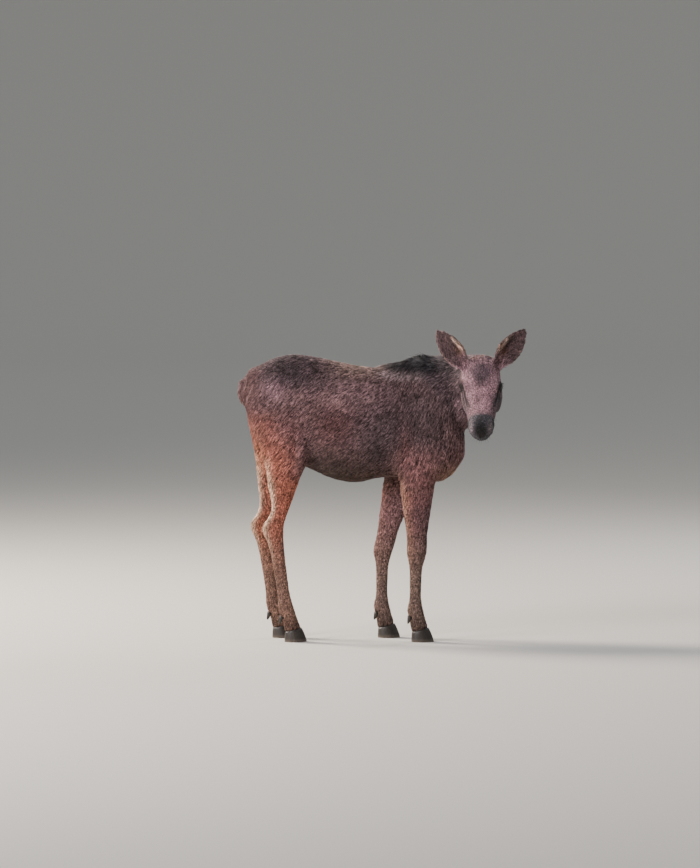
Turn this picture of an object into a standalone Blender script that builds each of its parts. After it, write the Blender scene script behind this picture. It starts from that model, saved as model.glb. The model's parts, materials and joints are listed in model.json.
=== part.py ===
"""A moose calf about four months old, standing, with its head turned to its right.

Metres, +X forward, +Y the animal's left, +Z up, the floor at Z = 0. The outline is the
outline of the coat. The flesh is modelled whole, as lofts and ovals that are fused and
smoothed, and is then parted into its named nodes with thin cuts.
"""

import math

import bmesh
import bpy
import numpy as np
from mathutils import Matrix, Vector

# Driving dimensions
WITHERS = 1.30  # height at the shoulder hump
TRUNK_LENGTH = 1.015  # breast to buttock
TRUNK_HALF_WIDTH = 0.186  # at the belly
TRUNK_REAR = -0.490  # the buttock's place along X
HEAD_LENGTH = 0.415  # poll to nose tip
EAR_LENGTH = 0.240
EAR_HALF_WIDTH = 0.052
EAR_THICKNESS = 0.0075
EYE_RADIUS = 0.0185
HOOF_LENGTH = 0.110
HOOF_HEIGHT = 0.056  # at the middle of the coronet
CORONET_SLOPE = 0.26
TOE_WIDTH = 0.036
CLEFT = 0.005  # between the two toes of a foot

# The head's carriage, from its own frame (+X to the nose, +Y its left, +Z its crown)
POLL = Vector((0.584, -0.262, 1.290))
HEAD_YAW = math.radians(-92)
HEAD_PITCH = math.radians(43)
HEAD_ROLL = math.radians(1.5)

# Fusing and parting
VOXEL = 0.006
SEAT_GAP = 0.0004  # between a hoof, claw or eye and its seat
CUT = 0.0006  # width of the cuts that part the flesh
SNAP = 0.004  # points this close to a cut are moved into it
BROAD_TRIANGLES = 1950  # trunk, neck and upper legs
FINE_TRIANGLES = 2350  # head, tail and lower legs
RING = 32  # points round a loft

# Trunk: place along it, top, bottom, half width, height of the widest point,
# squareness of its back and of its belly. Lengths are shares of the driving dimensions.
TRUNK = (
    (0.004, 0.890, 0.825, 0.22, 0.860, 2.0, 2.0),  # buttock
    (0.030, 0.934, 0.770, 0.50, 0.865, 2.0, 2.0),
    (0.085, 0.960, 0.700, 0.72, 0.850, 2.1, 2.0),  # tail head
    (0.150, 0.984, 0.655, 0.82, 0.835, 2.1, 2.0),
    (0.225, 0.996, 0.620, 0.88, 0.820, 2.0, 2.0),  # croup
    (0.320, 0.989, 0.585, 0.92, 0.790, 1.95, 2.1),  # flank
    (0.420, 0.973, 0.553, 0.98, 0.750, 1.9, 2.2),  # loin
    (0.520, 0.958, 0.544, 1.00, 0.730, 1.9, 2.2),  # belly
    (0.615, 0.955, 0.559, 0.95, 0.720, 1.8, 2.2),
    (0.695, 0.974, 0.562, 0.87, 0.715, 1.6, 2.1),
    (0.775, 0.996, 0.552, 0.80, 0.710, 1.45, 2.0),  # hump
    (0.850, 0.992, 0.545, 0.74, 0.710, 1.45, 1.9),
    (0.910, 0.930, 0.555, 0.66, 0.700, 1.6, 1.9),  # breast
    (0.965, 0.840, 0.595, 0.50, 0.690, 2.0, 1.9),
    (0.997, 0.740, 0.640, 0.26, 0.685, 2.0, 2.0),
)

# Neck: centre of the section, its half height above and below, half width.
NECK = (
    ((0.220, 0.000, 1.030), 0.235, 0.20, 0.120),
    ((0.340, 0.000, 1.075), 0.215, 0.20, 0.128),
    ((0.450, -0.008, 1.115), 0.185, 0.185, 0.121),
    ((0.535, -0.060, 1.150), 0.150, 0.155, 0.108),
    ((0.578, -0.135, 1.180), 0.118, 0.125, 0.095),
    ((0.580, -0.215, 1.200), 0.090, 0.105, 0.087),
)

# Head, in head lengths: place from the poll, top, bottom, half width, height of the
# widest point, squareness above and below it.
HEAD = (
    (-0.110, -0.090, -0.300, 0.120, -0.190, 2.0, 2.0),
    (-0.050, -0.020, -0.385, 0.165, -0.180, 2.1, 2.0),
    (0.030, 0.010, -0.440, 0.192, -0.170, 2.2, 1.9),  # poll
    (0.130, 0.018, -0.465, 0.206, -0.160, 2.3, 1.8),
    (0.240, 0.008, -0.460, 0.215, -0.150, 2.3, 1.7),
    (0.350, -0.014, -0.425, 0.213, -0.150, 2.3, 1.8),  # eyes
    (0.450, -0.038, -0.396, 0.190, -0.165, 2.4, 1.9),
    (0.550, -0.052, -0.368, 0.170, -0.185, 2.5, 2.0),
    (0.660, -0.056, -0.345, 0.147, -0.190, 2.6, 2.0),  # bridge
    (0.770, -0.050, -0.332, 0.131, -0.180, 2.6, 2.0),
    (0.870, -0.042, -0.318, 0.134, -0.165, 2.5, 1.9),  # nostrils
    (0.945, -0.062, -0.298, 0.121, -0.160, 2.3, 1.9),
    (0.985, -0.100, -0.258, 0.092, -0.165, 2.1, 2.0),
    (1.000, -0.140, -0.220, 0.048, -0.175, 2.0, 2.0),  # nose tip
)

# Ovals that fill out the head, in head lengths: centre, radii, on both sides or not.
HEAD_OVALS = (
    ((0.335, 0.158, -0.088), (0.115, 0.055, 0.058), True),  # brow over the eye
    ((0.300, 0.140, -0.285), (0.230, 0.086, 0.165), True),  # cheek
    ((0.020, 0.165, -0.120), (0.075, 0.062, 0.075), True),  # root of the ear
    ((0.875, 0.085, -0.145), (0.080, 0.054, 0.068), True),  # wing of the nostril
    ((0.905, 0.000, -0.235), (0.088, 0.100, 0.086), False),  # upper lip
    ((0.800, 0.000, -0.318), (0.115, 0.070, 0.048), False),  # chin
)

# Ovals that fill out the trunk: centre, radii, turn about Y in degrees, both sides or not.
TRUNK_OVALS = (
    ((0.350, 0.090, 0.965), (0.125, 0.068, 0.240), 18, True),  # shoulder blade
    ((0.405, 0.072, 0.855), (0.080, 0.055, 0.115), 0, True),  # point of the shoulder
    ((-0.310, 0.100, 1.060), (0.165, 0.068, 0.150), 0, True),  # hip
    ((-0.265, 0.100, 0.860), (0.075, 0.055, 0.110), -25, True),  # stifle
    ((0.425, 0.000, 0.800), (0.050, 0.070, 0.075), 0, False),  # brisket
)

# Legs: height, back edge, front edge, half width, distance of the middle from the trunk's
# plane of symmetry. These are the legs that stand as the right ones do.
FORELEG = (
    (0.980, 0.215, 0.455, 0.040, 0.095),
    (0.860, 0.205, 0.458, 0.055, 0.100),
    (0.780, 0.207, 0.424, 0.056, 0.104),  # elbow
    (0.720, 0.218, 0.392, 0.053, 0.106),
    (0.636, 0.231, 0.374, 0.048, 0.105),
    (0.546, 0.242, 0.361, 0.043, 0.104),
    (0.480, 0.252, 0.350, 0.040, 0.104),
    (0.435, 0.253, 0.350, 0.042, 0.104),  # knee
    (0.395, 0.255, 0.346, 0.041, 0.104),
    (0.350, 0.263, 0.331, 0.034, 0.104),
    (0.260, 0.266, 0.323, 0.028, 0.104),  # cannon
    (0.185, 0.264, 0.323, 0.029, 0.104),
    (0.138, 0.255, 0.332, 0.037, 0.104),  # fetlock
    (0.100, 0.266, 0.342, 0.034, 0.104),
    (0.062, 0.272, 0.352, 0.038, 0.104),  # coronet
    (0.040, 0.278, 0.354, 0.036, 0.104),
)
HINDLEG = (
    (1.080, -0.478, -0.220, 0.045, 0.098),
    (1.020, -0.463, -0.180, 0.058, 0.100),
    (0.960, -0.442, -0.160, 0.063, 0.102),
    (0.910, -0.424, -0.158, 0.064, 0.103),
    (0.860, -0.406, -0.164, 0.062, 0.104),  # thigh
    (0.800, -0.390, -0.185, 0.058, 0.104),
    (0.740, -0.377, -0.217, 0.052, 0.104),
    (0.680, -0.366, -0.240, 0.046, 0.103),
    (0.636, -0.358, -0.255, 0.041, 0.103),  # shin
    (0.590, -0.358, -0.273, 0.036, 0.103),
    (0.555, -0.374, -0.285, 0.033, 0.103),
    (0.528, -0.392, -0.292, 0.034, 0.103),  # point of the hock
    (0.495, -0.390, -0.295, 0.037, 0.103),
    (0.455, -0.374, -0.296, 0.037, 0.103),
    (0.405, -0.360, -0.293, 0.032, 0.103),
    (0.320, -0.344, -0.283, 0.028, 0.103),  # cannon
    (0.200, -0.326, -0.265, 0.028, 0.103),
    (0.138, -0.322, -0.246, 0.037, 0.103),  # fetlock
    (0.100, -0.306, -0.234, 0.034, 0.103),
    (0.062, -0.298, -0.220, 0.038, 0.103),  # coronet
    (0.040, -0.292, -0.218, 0.036, 0.103),
)

# How far back the left legs stand, and the heights between which they lean that way.
STANCE = {
    "fore_right": (FORELEG, -1, 0.0),
    "fore_left": (FORELEG, 1, -0.150),
    "hind_right": (HINDLEG, -1, 0.0),
    "hind_left": (HINDLEG, 1, -0.058),
}
LEAN = {"fore": (1.00, 0.40), "hind": (1.08, 0.50)}
LEG_CUTS = {"fore": (0.695, 0.375), "hind": (0.735, 0.450)}  # heights of the cuts across a leg

TAIL = ((-0.452, 1.215, 0.018), (-0.478, 1.180, 0.024), (-0.491, 1.135, 0.023), (-0.493, 1.085, 0.013))

# Ears, in the head's frame. The right ear mirrors the left.
EAR_ROOT = Vector((0.012, 0.080, -0.028))
EAR_AXIS = Vector((-0.53, 0.64, 0.57)).normalized()
EAR_FACING = Vector((0.62, 0.18, 0.76))
EAR_CUP = 0.030  # depth of the cup at its deepest
EAR_SUNK = 0.22  # share of the ear that is sunk in the head
# Place along the ear, share of the half width, share of the cup's depth, bend backwards.
EAR = (
    (0.00, 0.36, 1.00, 0.0),
    (0.14, 0.48, 1.25, 0.0),
    (0.30, 0.74, 1.20, 0.001),
    (0.48, 1.00, 0.85, 0.003),
    (0.66, 0.94, 0.55, 0.006),
    (0.82, 0.68, 0.32, 0.010),
    (0.93, 0.38, 0.18, 0.014),
    (1.00, 0.12, 0.08, 0.017),
)

EYE_PLACE = Vector((0.141, 0.0745, -0.051))  # centre of the left eyeball, head frame

COLOURS = {
    "coat": (0.135, 0.070, 0.048, 1),
    "horn": (0.020, 0.017, 0.015, 1),
    "eye": (0.008, 0.005, 0.004, 1),
}
ROUGHNESS = {"coat": 0.85, "horn": 0.45, "eye": 0.06}

SIDES = {"left": 1, "right": -1}


def spline(keys, values, at):
    """A cubic through every row of values, read at the given keys."""
    keys, values, at = (np.asarray(v, float) for v in (keys, values, at))
    slopes = np.gradient(values, keys, axis=0)
    i = np.clip(np.searchsorted(keys, at) - 1, 0, len(keys) - 2)
    span = (keys[i + 1] - keys[i])[:, None]
    t = ((at - keys[i]) / span[:, 0])[:, None]
    rise = values[i + 1] - values[i]
    return (
        values[i]
        + span * slopes[i] * (t**3 - 2 * t**2 + t)
        + rise * (3 * t**2 - 2 * t**3)
        + span * slopes[i + 1] * (t**3 - t**2)
    )


def resampled(rows, count):
    """Rows of (key, values) at evenly spaced keys, in the keys' rising order."""
    rows = sorted(rows)
    keys = [row[0] for row in rows]
    at = np.linspace(keys[0], keys[-1], count)
    return [(key, *row) for key, row in zip(at, spline(keys, [row[1:] for row in rows], at))]


def oval(across, up, down, power_up=2.0, power_down=2.0):
    """Points (sideways, height) round a section whose halves may differ in squareness."""
    points = []
    for k in range(RING):
        c, s = math.cos(math.tau * k / RING), math.sin(math.tau * k / RING)
        e = 2 / (power_up if s > 0 else power_down)
        rise = up if s > 0 else down
        points.append((across * math.copysign(abs(c) ** e, c), rise * math.copysign(abs(s) ** e, s)))
    return points


def new_object(name, mesh, material=None):
    data = bpy.data.meshes.new(name)
    mesh.to_mesh(data)
    mesh.free()
    obj = bpy.data.objects.new(name, data)
    bpy.context.scene.collection.objects.link(obj)
    if material:
        data.materials.append(material)
    return obj


def loft(name, rings):
    """A closed skin over rings of equal point counts."""
    mesh = bmesh.new()
    loops = [[mesh.verts.new(point) for point in ring] for ring in rings]
    for first, second in zip(loops, loops[1:]):
        for i in range(len(first)):
            j = (i + 1) % len(first)
            mesh.faces.new((first[i], first[j], second[j], second[i]))
    mesh.faces.new(loops[0])
    mesh.faces.new(loops[-1])
    bmesh.ops.recalc_face_normals(mesh, faces=mesh.faces)
    return new_object(name, mesh)


def ellipsoid(name, centre, radii, matrix=None, segments=24):
    mesh = bmesh.new()
    bmesh.ops.create_uvsphere(mesh, u_segments=segments, v_segments=segments // 2, radius=1)
    placed = (matrix or Matrix()) @ Matrix.Translation(centre)
    bmesh.ops.transform(mesh, matrix=placed @ Matrix.Diagonal((*radii, 1)), verts=mesh.verts)
    return new_object(name, mesh)


def on_both_sides(centre, both):
    """The centre and, for a paired form, its mirror image across the plane of symmetry."""
    places = [Vector(centre)]
    if both:
        places.append(Vector((centre[0], -centre[1], centre[2])))
    return places


def head_matrix():
    turn = Matrix.Rotation(HEAD_YAW, 4, "Z") @ Matrix.Rotation(HEAD_PITCH, 4, "Y")
    return Matrix.Translation(POLL) @ turn @ Matrix.Rotation(HEAD_ROLL, 4, "X")


def trunk_forms():
    rings = []
    for along, top, bottom, width, widest, power_up, power_down in resampled(TRUNK, 44):
        x = TRUNK_REAR + along * TRUNK_LENGTH
        middle = widest * WITHERS
        section = oval(
            width * TRUNK_HALF_WIDTH, top * WITHERS - middle, middle - bottom * WITHERS, power_up, power_down
        )
        rings.append([(x, y, middle + z) for y, z in section])
    forms = [loft("trunk_form", rings)]
    for centre, radii, turn, both in TRUNK_OVALS:
        for place in on_both_sides(centre, both):
            tilt = Matrix.Translation(place) @ Matrix.Rotation(math.radians(turn), 4, "Y")
            forms.append(ellipsoid("muscle", (0, 0, 0), radii, tilt))
    return forms


def neck_forms():
    keys = np.linspace(0, 1, len(NECK))
    rows = [(*centre, up, down, across) for centre, up, down, across in NECK]
    table = spline(keys, rows, np.linspace(0, 1, 26))
    centres = [Vector(row[:3]) for row in table]
    rings = []
    for i, row in enumerate(table):
        ahead = (centres[min(i + 1, 25)] - centres[max(i - 1, 0)]).normalized()
        side = Vector((0, 0, 1)).cross(ahead).normalized()
        crown = ahead.cross(side)
        section = oval(row[5], row[3], row[4], 1.75, 2.0)
        rings.append([centres[i] + side * y + crown * z for y, z in section])
    return [loft("neck_form", rings)]


def head_forms():
    place = head_matrix()
    rings = []
    for along, top, bottom, width, widest, power_up, power_down in resampled(HEAD, 40):
        section = oval(width, top - widest, widest - bottom, power_up, power_down)
        rings.append([place @ (HEAD_LENGTH * Vector((along, y, widest + z))) for y, z in section])
    forms = [loft("head_form", rings)]
    for centre, radii, both in HEAD_OVALS:
        for middle in on_both_sides(centre, both):
            size = [HEAD_LENGTH * r for r in radii]
            forms.append(ellipsoid("head_oval", HEAD_LENGTH * middle, size, place))
    return forms


def lean(leg, height):
    """How far back this leg stands at a height."""
    top, foot = LEAN[leg.split("_")[0]]
    t = min(max((top - height) / (top - foot), 0), 1)
    return STANCE[leg][2] * (t * (2 - t) if leg.startswith("hind") else t)


def leg_form(leg):
    table, side, _ = STANCE[leg]
    rings = []
    for height, back, front, width, out in resampled(table, 60):
        middle = (back + front) / 2 + lean(leg, height)
        section = oval((front - back) / 2, width, width, 2.1, 2.1)
        rings.append([(middle + x, side * out + y, height) for x, y in section])
    return loft(leg + "_form", rings)


def tail_form():
    rings = []
    for x, z, radius in TAIL:
        section = oval(radius, radius * 0.7, radius * 0.7)
        rings.append([(x + depth * 0.95, y, z + depth * 0.3) for y, depth in section])
    return loft("tail_form", rings)


def joined(forms, name):
    """One object that holds the meshes of all the forms, still overlapping."""
    mesh = bmesh.new()
    for form in forms:
        mesh.from_mesh(form.data)
        bpy.data.objects.remove(form)
    return new_object(name, mesh)


def apply_modifiers(obj):
    bpy.context.view_layer.update()
    graph = bpy.context.evaluated_depsgraph_get()
    mesh = bpy.data.meshes.new_from_object(obj.evaluated_get(graph))
    obj.modifiers.clear()
    obj.data = mesh


def mark_fine(obj):
    """A vertex group of the head, tail and lower legs, and another of the broad forms."""
    inward = head_matrix().inverted()
    broad, fine = obj.vertex_groups.new(name="broad"), obj.vertex_groups.new(name="fine")
    for vertex in obj.data.vertices:
        place = inward @ vertex.co
        at_head = -0.02 < place.x < HEAD_LENGTH * 1.2 and place.z > -0.26 and abs(place.y) < 0.16
        at_tail = vertex.co.x < -0.44 and abs(vertex.co.y) < 0.05 and vertex.co.z > 1.05
        low = vertex.co.z < 0.50
        (fine if at_head or at_tail or low else broad).add([vertex.index], 1.0, "REPLACE")


def smooth(obj, repeats, group=""):
    modifier = obj.modifiers.new("smooth", "SMOOTH")
    modifier.factor, modifier.iterations, modifier.vertex_group = 0.5, repeats, group


def thin_out(obj, group, wanted):
    """Collapses the faces of one vertex group to the wanted number of triangles."""
    index = obj.vertex_groups[group].index

    def member(vertex):
        return any(g.group == index and g.weight > 0.5 for g in vertex.groups)

    inside = {vertex.index for vertex in obj.data.vertices if member(vertex)}
    faces = obj.data.polygons
    total = sum(len(face.vertices) - 2 for face in faces)
    mine = sum(len(face.vertices) - 2 for face in faces if all(v in inside for v in face.vertices))
    modifier = obj.modifiers.new("thin", "DECIMATE")
    modifier.ratio = (total - mine + wanted) / total
    modifier.vertex_group = group
    apply_modifiers(obj)


def fused_flesh():
    forms = trunk_forms() + neck_forms() + head_forms() + [leg_form(leg) for leg in STANCE] + [tail_form()]
    flesh = joined(forms, "flesh")
    remesh = flesh.modifiers.new("fuse", "REMESH")
    remesh.mode, remesh.voxel_size = "VOXEL", VOXEL
    apply_modifiers(flesh)
    mark_fine(flesh)
    smooth(flesh, 5)
    smooth(flesh, 16, "broad")
    apply_modifiers(flesh)
    thin_out(flesh, "broad", BROAD_TRIANGLES)
    thin_out(flesh, "fine", FINE_TRIANGLES)
    flesh.vertex_groups.clear()
    return flesh


def ear_object(side):
    """A cupped leaf, solidified, sunk with its root in the head."""
    mesh = bmesh.new()
    rows = resampled(EAR, 10)
    across = 6
    grid = []
    for along, width, cup, bend in rows:
        line = []
        for k in range(across + 1):
            u = 2 * k / across - 1
            depth = EAR_CUP * cup * abs(u) ** 1.8 - bend
            line.append(mesh.verts.new((depth, EAR_HALF_WIDTH * width * u, EAR_LENGTH * along)))
        grid.append(line)
    for first, second in zip(grid, grid[1:]):
        for k in range(across):
            mesh.faces.new((first[k], first[k + 1], second[k + 1], second[k]))
    ear = new_object("ear_form", mesh)
    shell = ear.modifiers.new("thickness", "SOLIDIFY")
    shell.thickness, shell.offset = EAR_THICKNESS, 0
    apply_modifiers(ear)
    axis = Vector((EAR_AXIS.x, side * EAR_AXIS.y, EAR_AXIS.z))
    facing = Vector((EAR_FACING.x, side * EAR_FACING.y, EAR_FACING.z))
    facing = (facing - axis * facing.dot(axis)).normalized()
    turn = Matrix((facing, axis.cross(facing), axis)).transposed().to_4x4()
    root = Vector((EAR_ROOT.x, side * EAR_ROOT.y, EAR_ROOT.z)) - axis * EAR_LENGTH * EAR_SUNK
    ear.data.transform(head_matrix() @ Matrix.Translation(root) @ turn)
    recalculate(ear)
    return ear


def recalculate(obj):
    mesh = bmesh.new()
    mesh.from_mesh(obj.data)
    bmesh.ops.remove_doubles(mesh, verts=mesh.verts, dist=1e-6)
    bmesh.ops.recalc_face_normals(mesh, faces=mesh.faces)
    mesh.to_mesh(obj.data)
    mesh.free()


def combine(obj, other, operation):
    """Applies an exact Boolean of obj with other, and removes other."""
    modifier = obj.modifiers.new("combine", "BOOLEAN")
    modifier.operation, modifier.object, modifier.solver = operation, other, "EXACT"
    apply_modifiers(obj)
    bpy.data.objects.remove(other)


def seat(flesh, piece):
    """Cuts room for a harder piece into the flesh, a little larger than the piece."""
    room = piece.copy()
    room.data = piece.data.copy()
    bpy.context.scene.collection.objects.link(room)
    mesh = bmesh.new()
    mesh.from_mesh(room.data)
    mesh.normal_update()
    for vertex, normal in [(v, v.normal.copy()) for v in mesh.verts]:
        vertex.co += normal * SEAT_GAP * 1.4
    mesh.to_mesh(room.data)
    mesh.free()
    combine(flesh, room, "DIFFERENCE")


def eye(side, material):
    centre = Vector((EYE_PLACE.x, side * EYE_PLACE.y, EYE_PLACE.z))
    ball = ellipsoid("eye", centre, (EYE_RADIUS,) * 3, head_matrix(), 14)
    ball.data.materials.append(material)
    return ball


def coronet_middle(leg):
    table, _, _ = STANCE[leg]
    row = next(row for row in table if row[0] == 0.062)
    return (row[1] + row[2]) / 2 + lean(leg, row[0])


def toe_section(middle, share, length, width, inner):
    """A toe's outline at a share of its height: round behind, pointed ahead."""
    points = []
    count = 12
    start = middle - 0.040 + 0.004 * share
    for k in range(count):
        angle = math.tau * k / count
        c, s = math.cos(angle), math.sin(angle)
        taper = 1 - 0.62 * max(c, 0) ** 2.2
        x = start + length * (0.5 + 0.5 * c)
        y = inner + s * width * (taper if s > 0 else 0.12)
        points.append((x, y, share * (HOOF_HEIGHT + CORONET_SLOPE * (x - middle))))
    return points


def toe(leg, outward, material):
    """One of a foot's two horn toes, standing flat on the floor."""
    table, side, _ = STANCE[leg]
    middle = coronet_middle(leg)
    inner = CLEFT / 2 + TOE_WIDTH * 0.12
    sections = ((0.0, 1.0, 1.0), (0.12, 0.985, 1.0), (0.55, 0.865, 0.96), (1.0, 0.73, 0.90))
    turned = side * outward
    rings = []
    for share, length, width in sections:
        ring = toe_section(middle, share, HOOF_LENGTH * length, TOE_WIDTH * width, inner)
        rings.append([(x, side * table[-2][4] + turned * y, z) for x, y, z in ring])
    horn = loft("toe", rings)
    horn.data.materials.append(material)
    return horn


def dewclaw(leg, outward, material):
    """A small horn cone behind the fetlock."""
    table, side, _ = STANCE[leg]
    fetlock = next(row for row in table if row[0] == 0.138)
    place = Vector((fetlock[1] + lean(leg, 0.1) + 0.010, side * (fetlock[4] + outward * 0.021), 0.098))
    mesh = bmesh.new()
    bmesh.ops.create_cone(mesh, cap_ends=True, segments=10, radius1=0.014, radius2=0.006, depth=0.040)
    turn = Matrix.Rotation(math.radians(197), 4, "Y")
    bmesh.ops.transform(mesh, matrix=Matrix.Translation(place) @ turn, verts=mesh.verts)
    return new_object("dewclaw", mesh, material)


def hanging_together(mesh, point):
    """The points of the body whose surface comes nearest to a place."""
    mesh.verts.ensure_lookup_table()
    first = min(mesh.verts, key=lambda vertex: (vertex.co - point).length_squared)
    body, front = {first}, [first]
    while front:
        for edge in front.pop().link_edges:
            for vertex in edge.verts:
                if vertex not in body:
                    body.add(vertex)
                    front.append(vertex)
    return body


def part_at(mesh, centre, normal, reach_a, reach_b, along):
    """Parts a body along a bounded plane and caps both rims, CUT apart.

    Points close to the plane are first moved into it, so that the rims get no slivers.
    """
    centre, normal = Vector(centre), Vector(normal).normalized()
    along = (Vector(along) - normal * normal.dot(along)).normalized()
    across = normal.cross(along)

    def height(vertex):
        return (vertex.co - centre).dot(normal)

    def within(vertex):
        away = vertex.co - centre
        return abs(away.dot(along)) < reach_a and abs(away.dot(across)) < reach_b

    def above(face):
        return sum(height(v) for v in face.verts) > -1e-6 * len(face.verts)

    body = {vertex for vertex in hanging_together(mesh, centre) if within(vertex)}
    for vertex in body:
        if abs(height(vertex)) < SNAP:
            vertex.co -= normal * height(vertex)
    # Lists in the mesh's own order, because the cut's result depends on the order
    faces = [face for face in mesh.faces if all(vertex in body for vertex in face.verts)]
    chosen = set(faces)
    edges = [edge for edge in mesh.edges if not chosen.isdisjoint(edge.link_faces)]
    points = [vertex for vertex in mesh.verts if not chosen.isdisjoint(vertex.link_faces)]
    geometry = faces + edges + points
    done = bmesh.ops.bisect_plane(mesh, geom=geometry, dist=1e-6, plane_co=centre, plane_no=normal)
    on_plane = [part for part in done["geom_cut"] if isinstance(part, bmesh.types.BMEdge)]
    rim = [edge for edge in on_plane if above(edge.link_faces[0]) != above(edge.link_faces[1])]
    bmesh.ops.split_edges(mesh, edges=rim)
    open_edges = [edge for edge in mesh.edges if edge.is_boundary]
    sides = {v: 1 if above(edge.link_faces[0]) else -1 for edge in open_edges for v in edge.verts}
    bmesh.ops.holes_fill(mesh, edges=open_edges, sides=0)
    for vertex, side in sides.items():
        vertex.co += normal * side * CUT / 2


def part_flesh(flesh):
    """Cuts the flesh into its nodes."""
    mesh = bmesh.new()
    mesh.from_mesh(flesh.data)
    bmesh.ops.triangulate(mesh, faces=mesh.faces)
    forward, left, up = (1, 0, 0), (0, 1, 0), (0, 0, 1)
    head = head_matrix()
    turn = head.to_3x3()
    for side in SIDES.values():
        root = Vector((EAR_ROOT.x, side * EAR_ROOT.y, EAR_ROOT.z))
        axis = Vector((EAR_AXIS.x, side * EAR_AXIS.y, EAR_AXIS.z))
        part_at(mesh, head @ (root + axis * 0.024), turn @ axis, 0.072, 0.072, turn @ Vector(forward))
    part_at(mesh, (0.435, 0, 1.08), (0.85, -0.10, 0.52), 0.30, 0.42, left)  # neck from trunk
    nape = head @ Vector((0.022, 0, -0.12))
    part_at(mesh, nape, turn @ Vector((0.9, 0, 0.43)), 0.25, 0.25, turn @ Vector(left))
    part_at(mesh, (-0.4855, 0, 1.145), (1, 0, -0.06), 0.05, 0.09, left)  # tail
    for leg, (table, side, _) in STANCE.items():
        for height in LEG_CUTS[leg.split("_")[0]]:
            part_at(mesh, leg_middle(leg, height), up, 0.10, 0.09, forward)
        coronet = (coronet_middle(leg), side * table[-2][4], HOOF_HEIGHT + SEAT_GAP)
        part_at(mesh, coronet, (-CORONET_SLOPE, 0, 1), 0.09, 0.08, forward)
    mesh.to_mesh(flesh.data)
    mesh.free()


def leg_middle(leg, height):
    """The middle of a leg's section at a height."""
    table, side, _ = STANCE[leg]
    rows = sorted(table)
    keys = [row[0] for row in rows]
    back, front, out = (np.interp(height, keys, [row[i] for row in rows]) for i in (1, 2, 4))
    return Vector(((back + front) / 2 + lean(leg, height), side * out, height))


def node_places():
    """A point near the middle of each flesh node."""
    head = head_matrix()
    places = {
        "trunk": Vector((0.0, 0, 0.98)),
        "neck": Vector((0.53, -0.07, 1.12)),
        "head": head @ Vector((0.20, 0, -0.07)),
        "tail": Vector((-0.50, 0, 1.13)),
    }
    for name, side in SIDES.items():
        root = Vector((EAR_ROOT.x, side * EAR_ROOT.y, EAR_ROOT.z))
        axis = Vector((EAR_AXIS.x, side * EAR_AXIS.y, EAR_AXIS.z))
        places["ear_" + name] = head @ (root + axis * 0.09)
    for leg in STANCE:
        kind, name = leg.split("_")
        top, bottom = LEG_CUTS[kind]
        upper, lower = {"fore": ("forearm", "fore_cannon"), "hind": ("gaskin", "hind_cannon")}[kind]
        places[f"{upper}_{name}"] = leg_middle(leg, (top + bottom) / 2)
        places[f"{lower}_{name}"] = leg_middle(leg, bottom / 2 + 0.03)
    return places


def loose_bodies(obj):
    """Splits a mesh into new objects, one for each body that hangs together."""
    mesh = bmesh.new()
    mesh.from_mesh(obj.data)
    left = set(mesh.verts)
    found = []
    for start in mesh.verts:
        if start not in left:
            continue
        left.remove(start)
        group, front = {start}, [start]
        while front:
            for edge in front.pop().link_edges:
                for vertex in edge.verts:
                    if vertex in left:
                        left.remove(vertex)
                        group.add(vertex)
                        front.append(vertex)
        found.append(group)
    bodies = []
    for group in found:
        part = bmesh.new()
        at = {vertex: part.verts.new(vertex.co) for vertex in mesh.verts if vertex in group}
        for face in mesh.faces:
            if face.verts[0] in group:
                part.faces.new([at[vertex] for vertex in face.verts])
        bmesh.ops.triangulate(part, faces=part.faces)
        bodies.append(new_object("body", part))
    mesh.free()
    return bodies


def name_bodies(bodies, material):
    """Names each body by its place, and drops the stubs that the hooves take the place of."""
    places = node_places()
    named = []
    for body in bodies:
        points = np.array([vertex.co for vertex in body.data.vertices])
        if points[:, 2].max() < HOOF_HEIGHT * 1.4:
            bpy.data.objects.remove(body)
            continue
        middle = Vector(((points.min(0) + points.max(0)) / 2).tolist())
        body.name = min(places, key=lambda node: (places[node] - middle).length)
        body.data.materials.append(material)
        named.append(body)
    return named


def stand_on_origin(objects):
    """Moves everything so that the origin is below the middle of the animal, on the floor."""
    points = np.array([obj.matrix_world @ v.co for obj in objects for v in obj.data.vertices])
    low, high = points.min(0), points.max(0)
    shift = Matrix.Translation((-(low[0] + high[0]) / 2, -(low[1] + high[1]) / 2, -low[2]))
    for obj in objects:
        obj.data.transform(shift)


def make_materials():
    made = {}
    for name, colour in COLOURS.items():
        material = bpy.data.materials.new(name)
        material.use_nodes = True
        shader = material.node_tree.nodes["Principled BSDF"]
        shader.inputs["Base Color"].default_value = colour
        shader.inputs["Roughness"].default_value = ROUGHNESS[name]
        shader.inputs["Metallic"].default_value = 0.0
        made[name] = material
    return made


def hard_pieces(materials):
    """The eyes, the toes and the dewclaws."""
    pieces = []
    for name, side in SIDES.items():
        pieces.append(eye(side, materials["eye"]))
        pieces[-1].name = "eye_" + name
    for leg in STANCE:
        for place, outward in (("outer", 1), ("inner", -1)):
            pieces.append(toe(leg, outward, materials["horn"]))
            pieces[-1].name = f"toe_{leg}_{place}"
            pieces.append(dewclaw(leg, outward, materials["horn"]))
            pieces[-1].name = f"dewclaw_{leg}_{place}"
    return pieces


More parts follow.
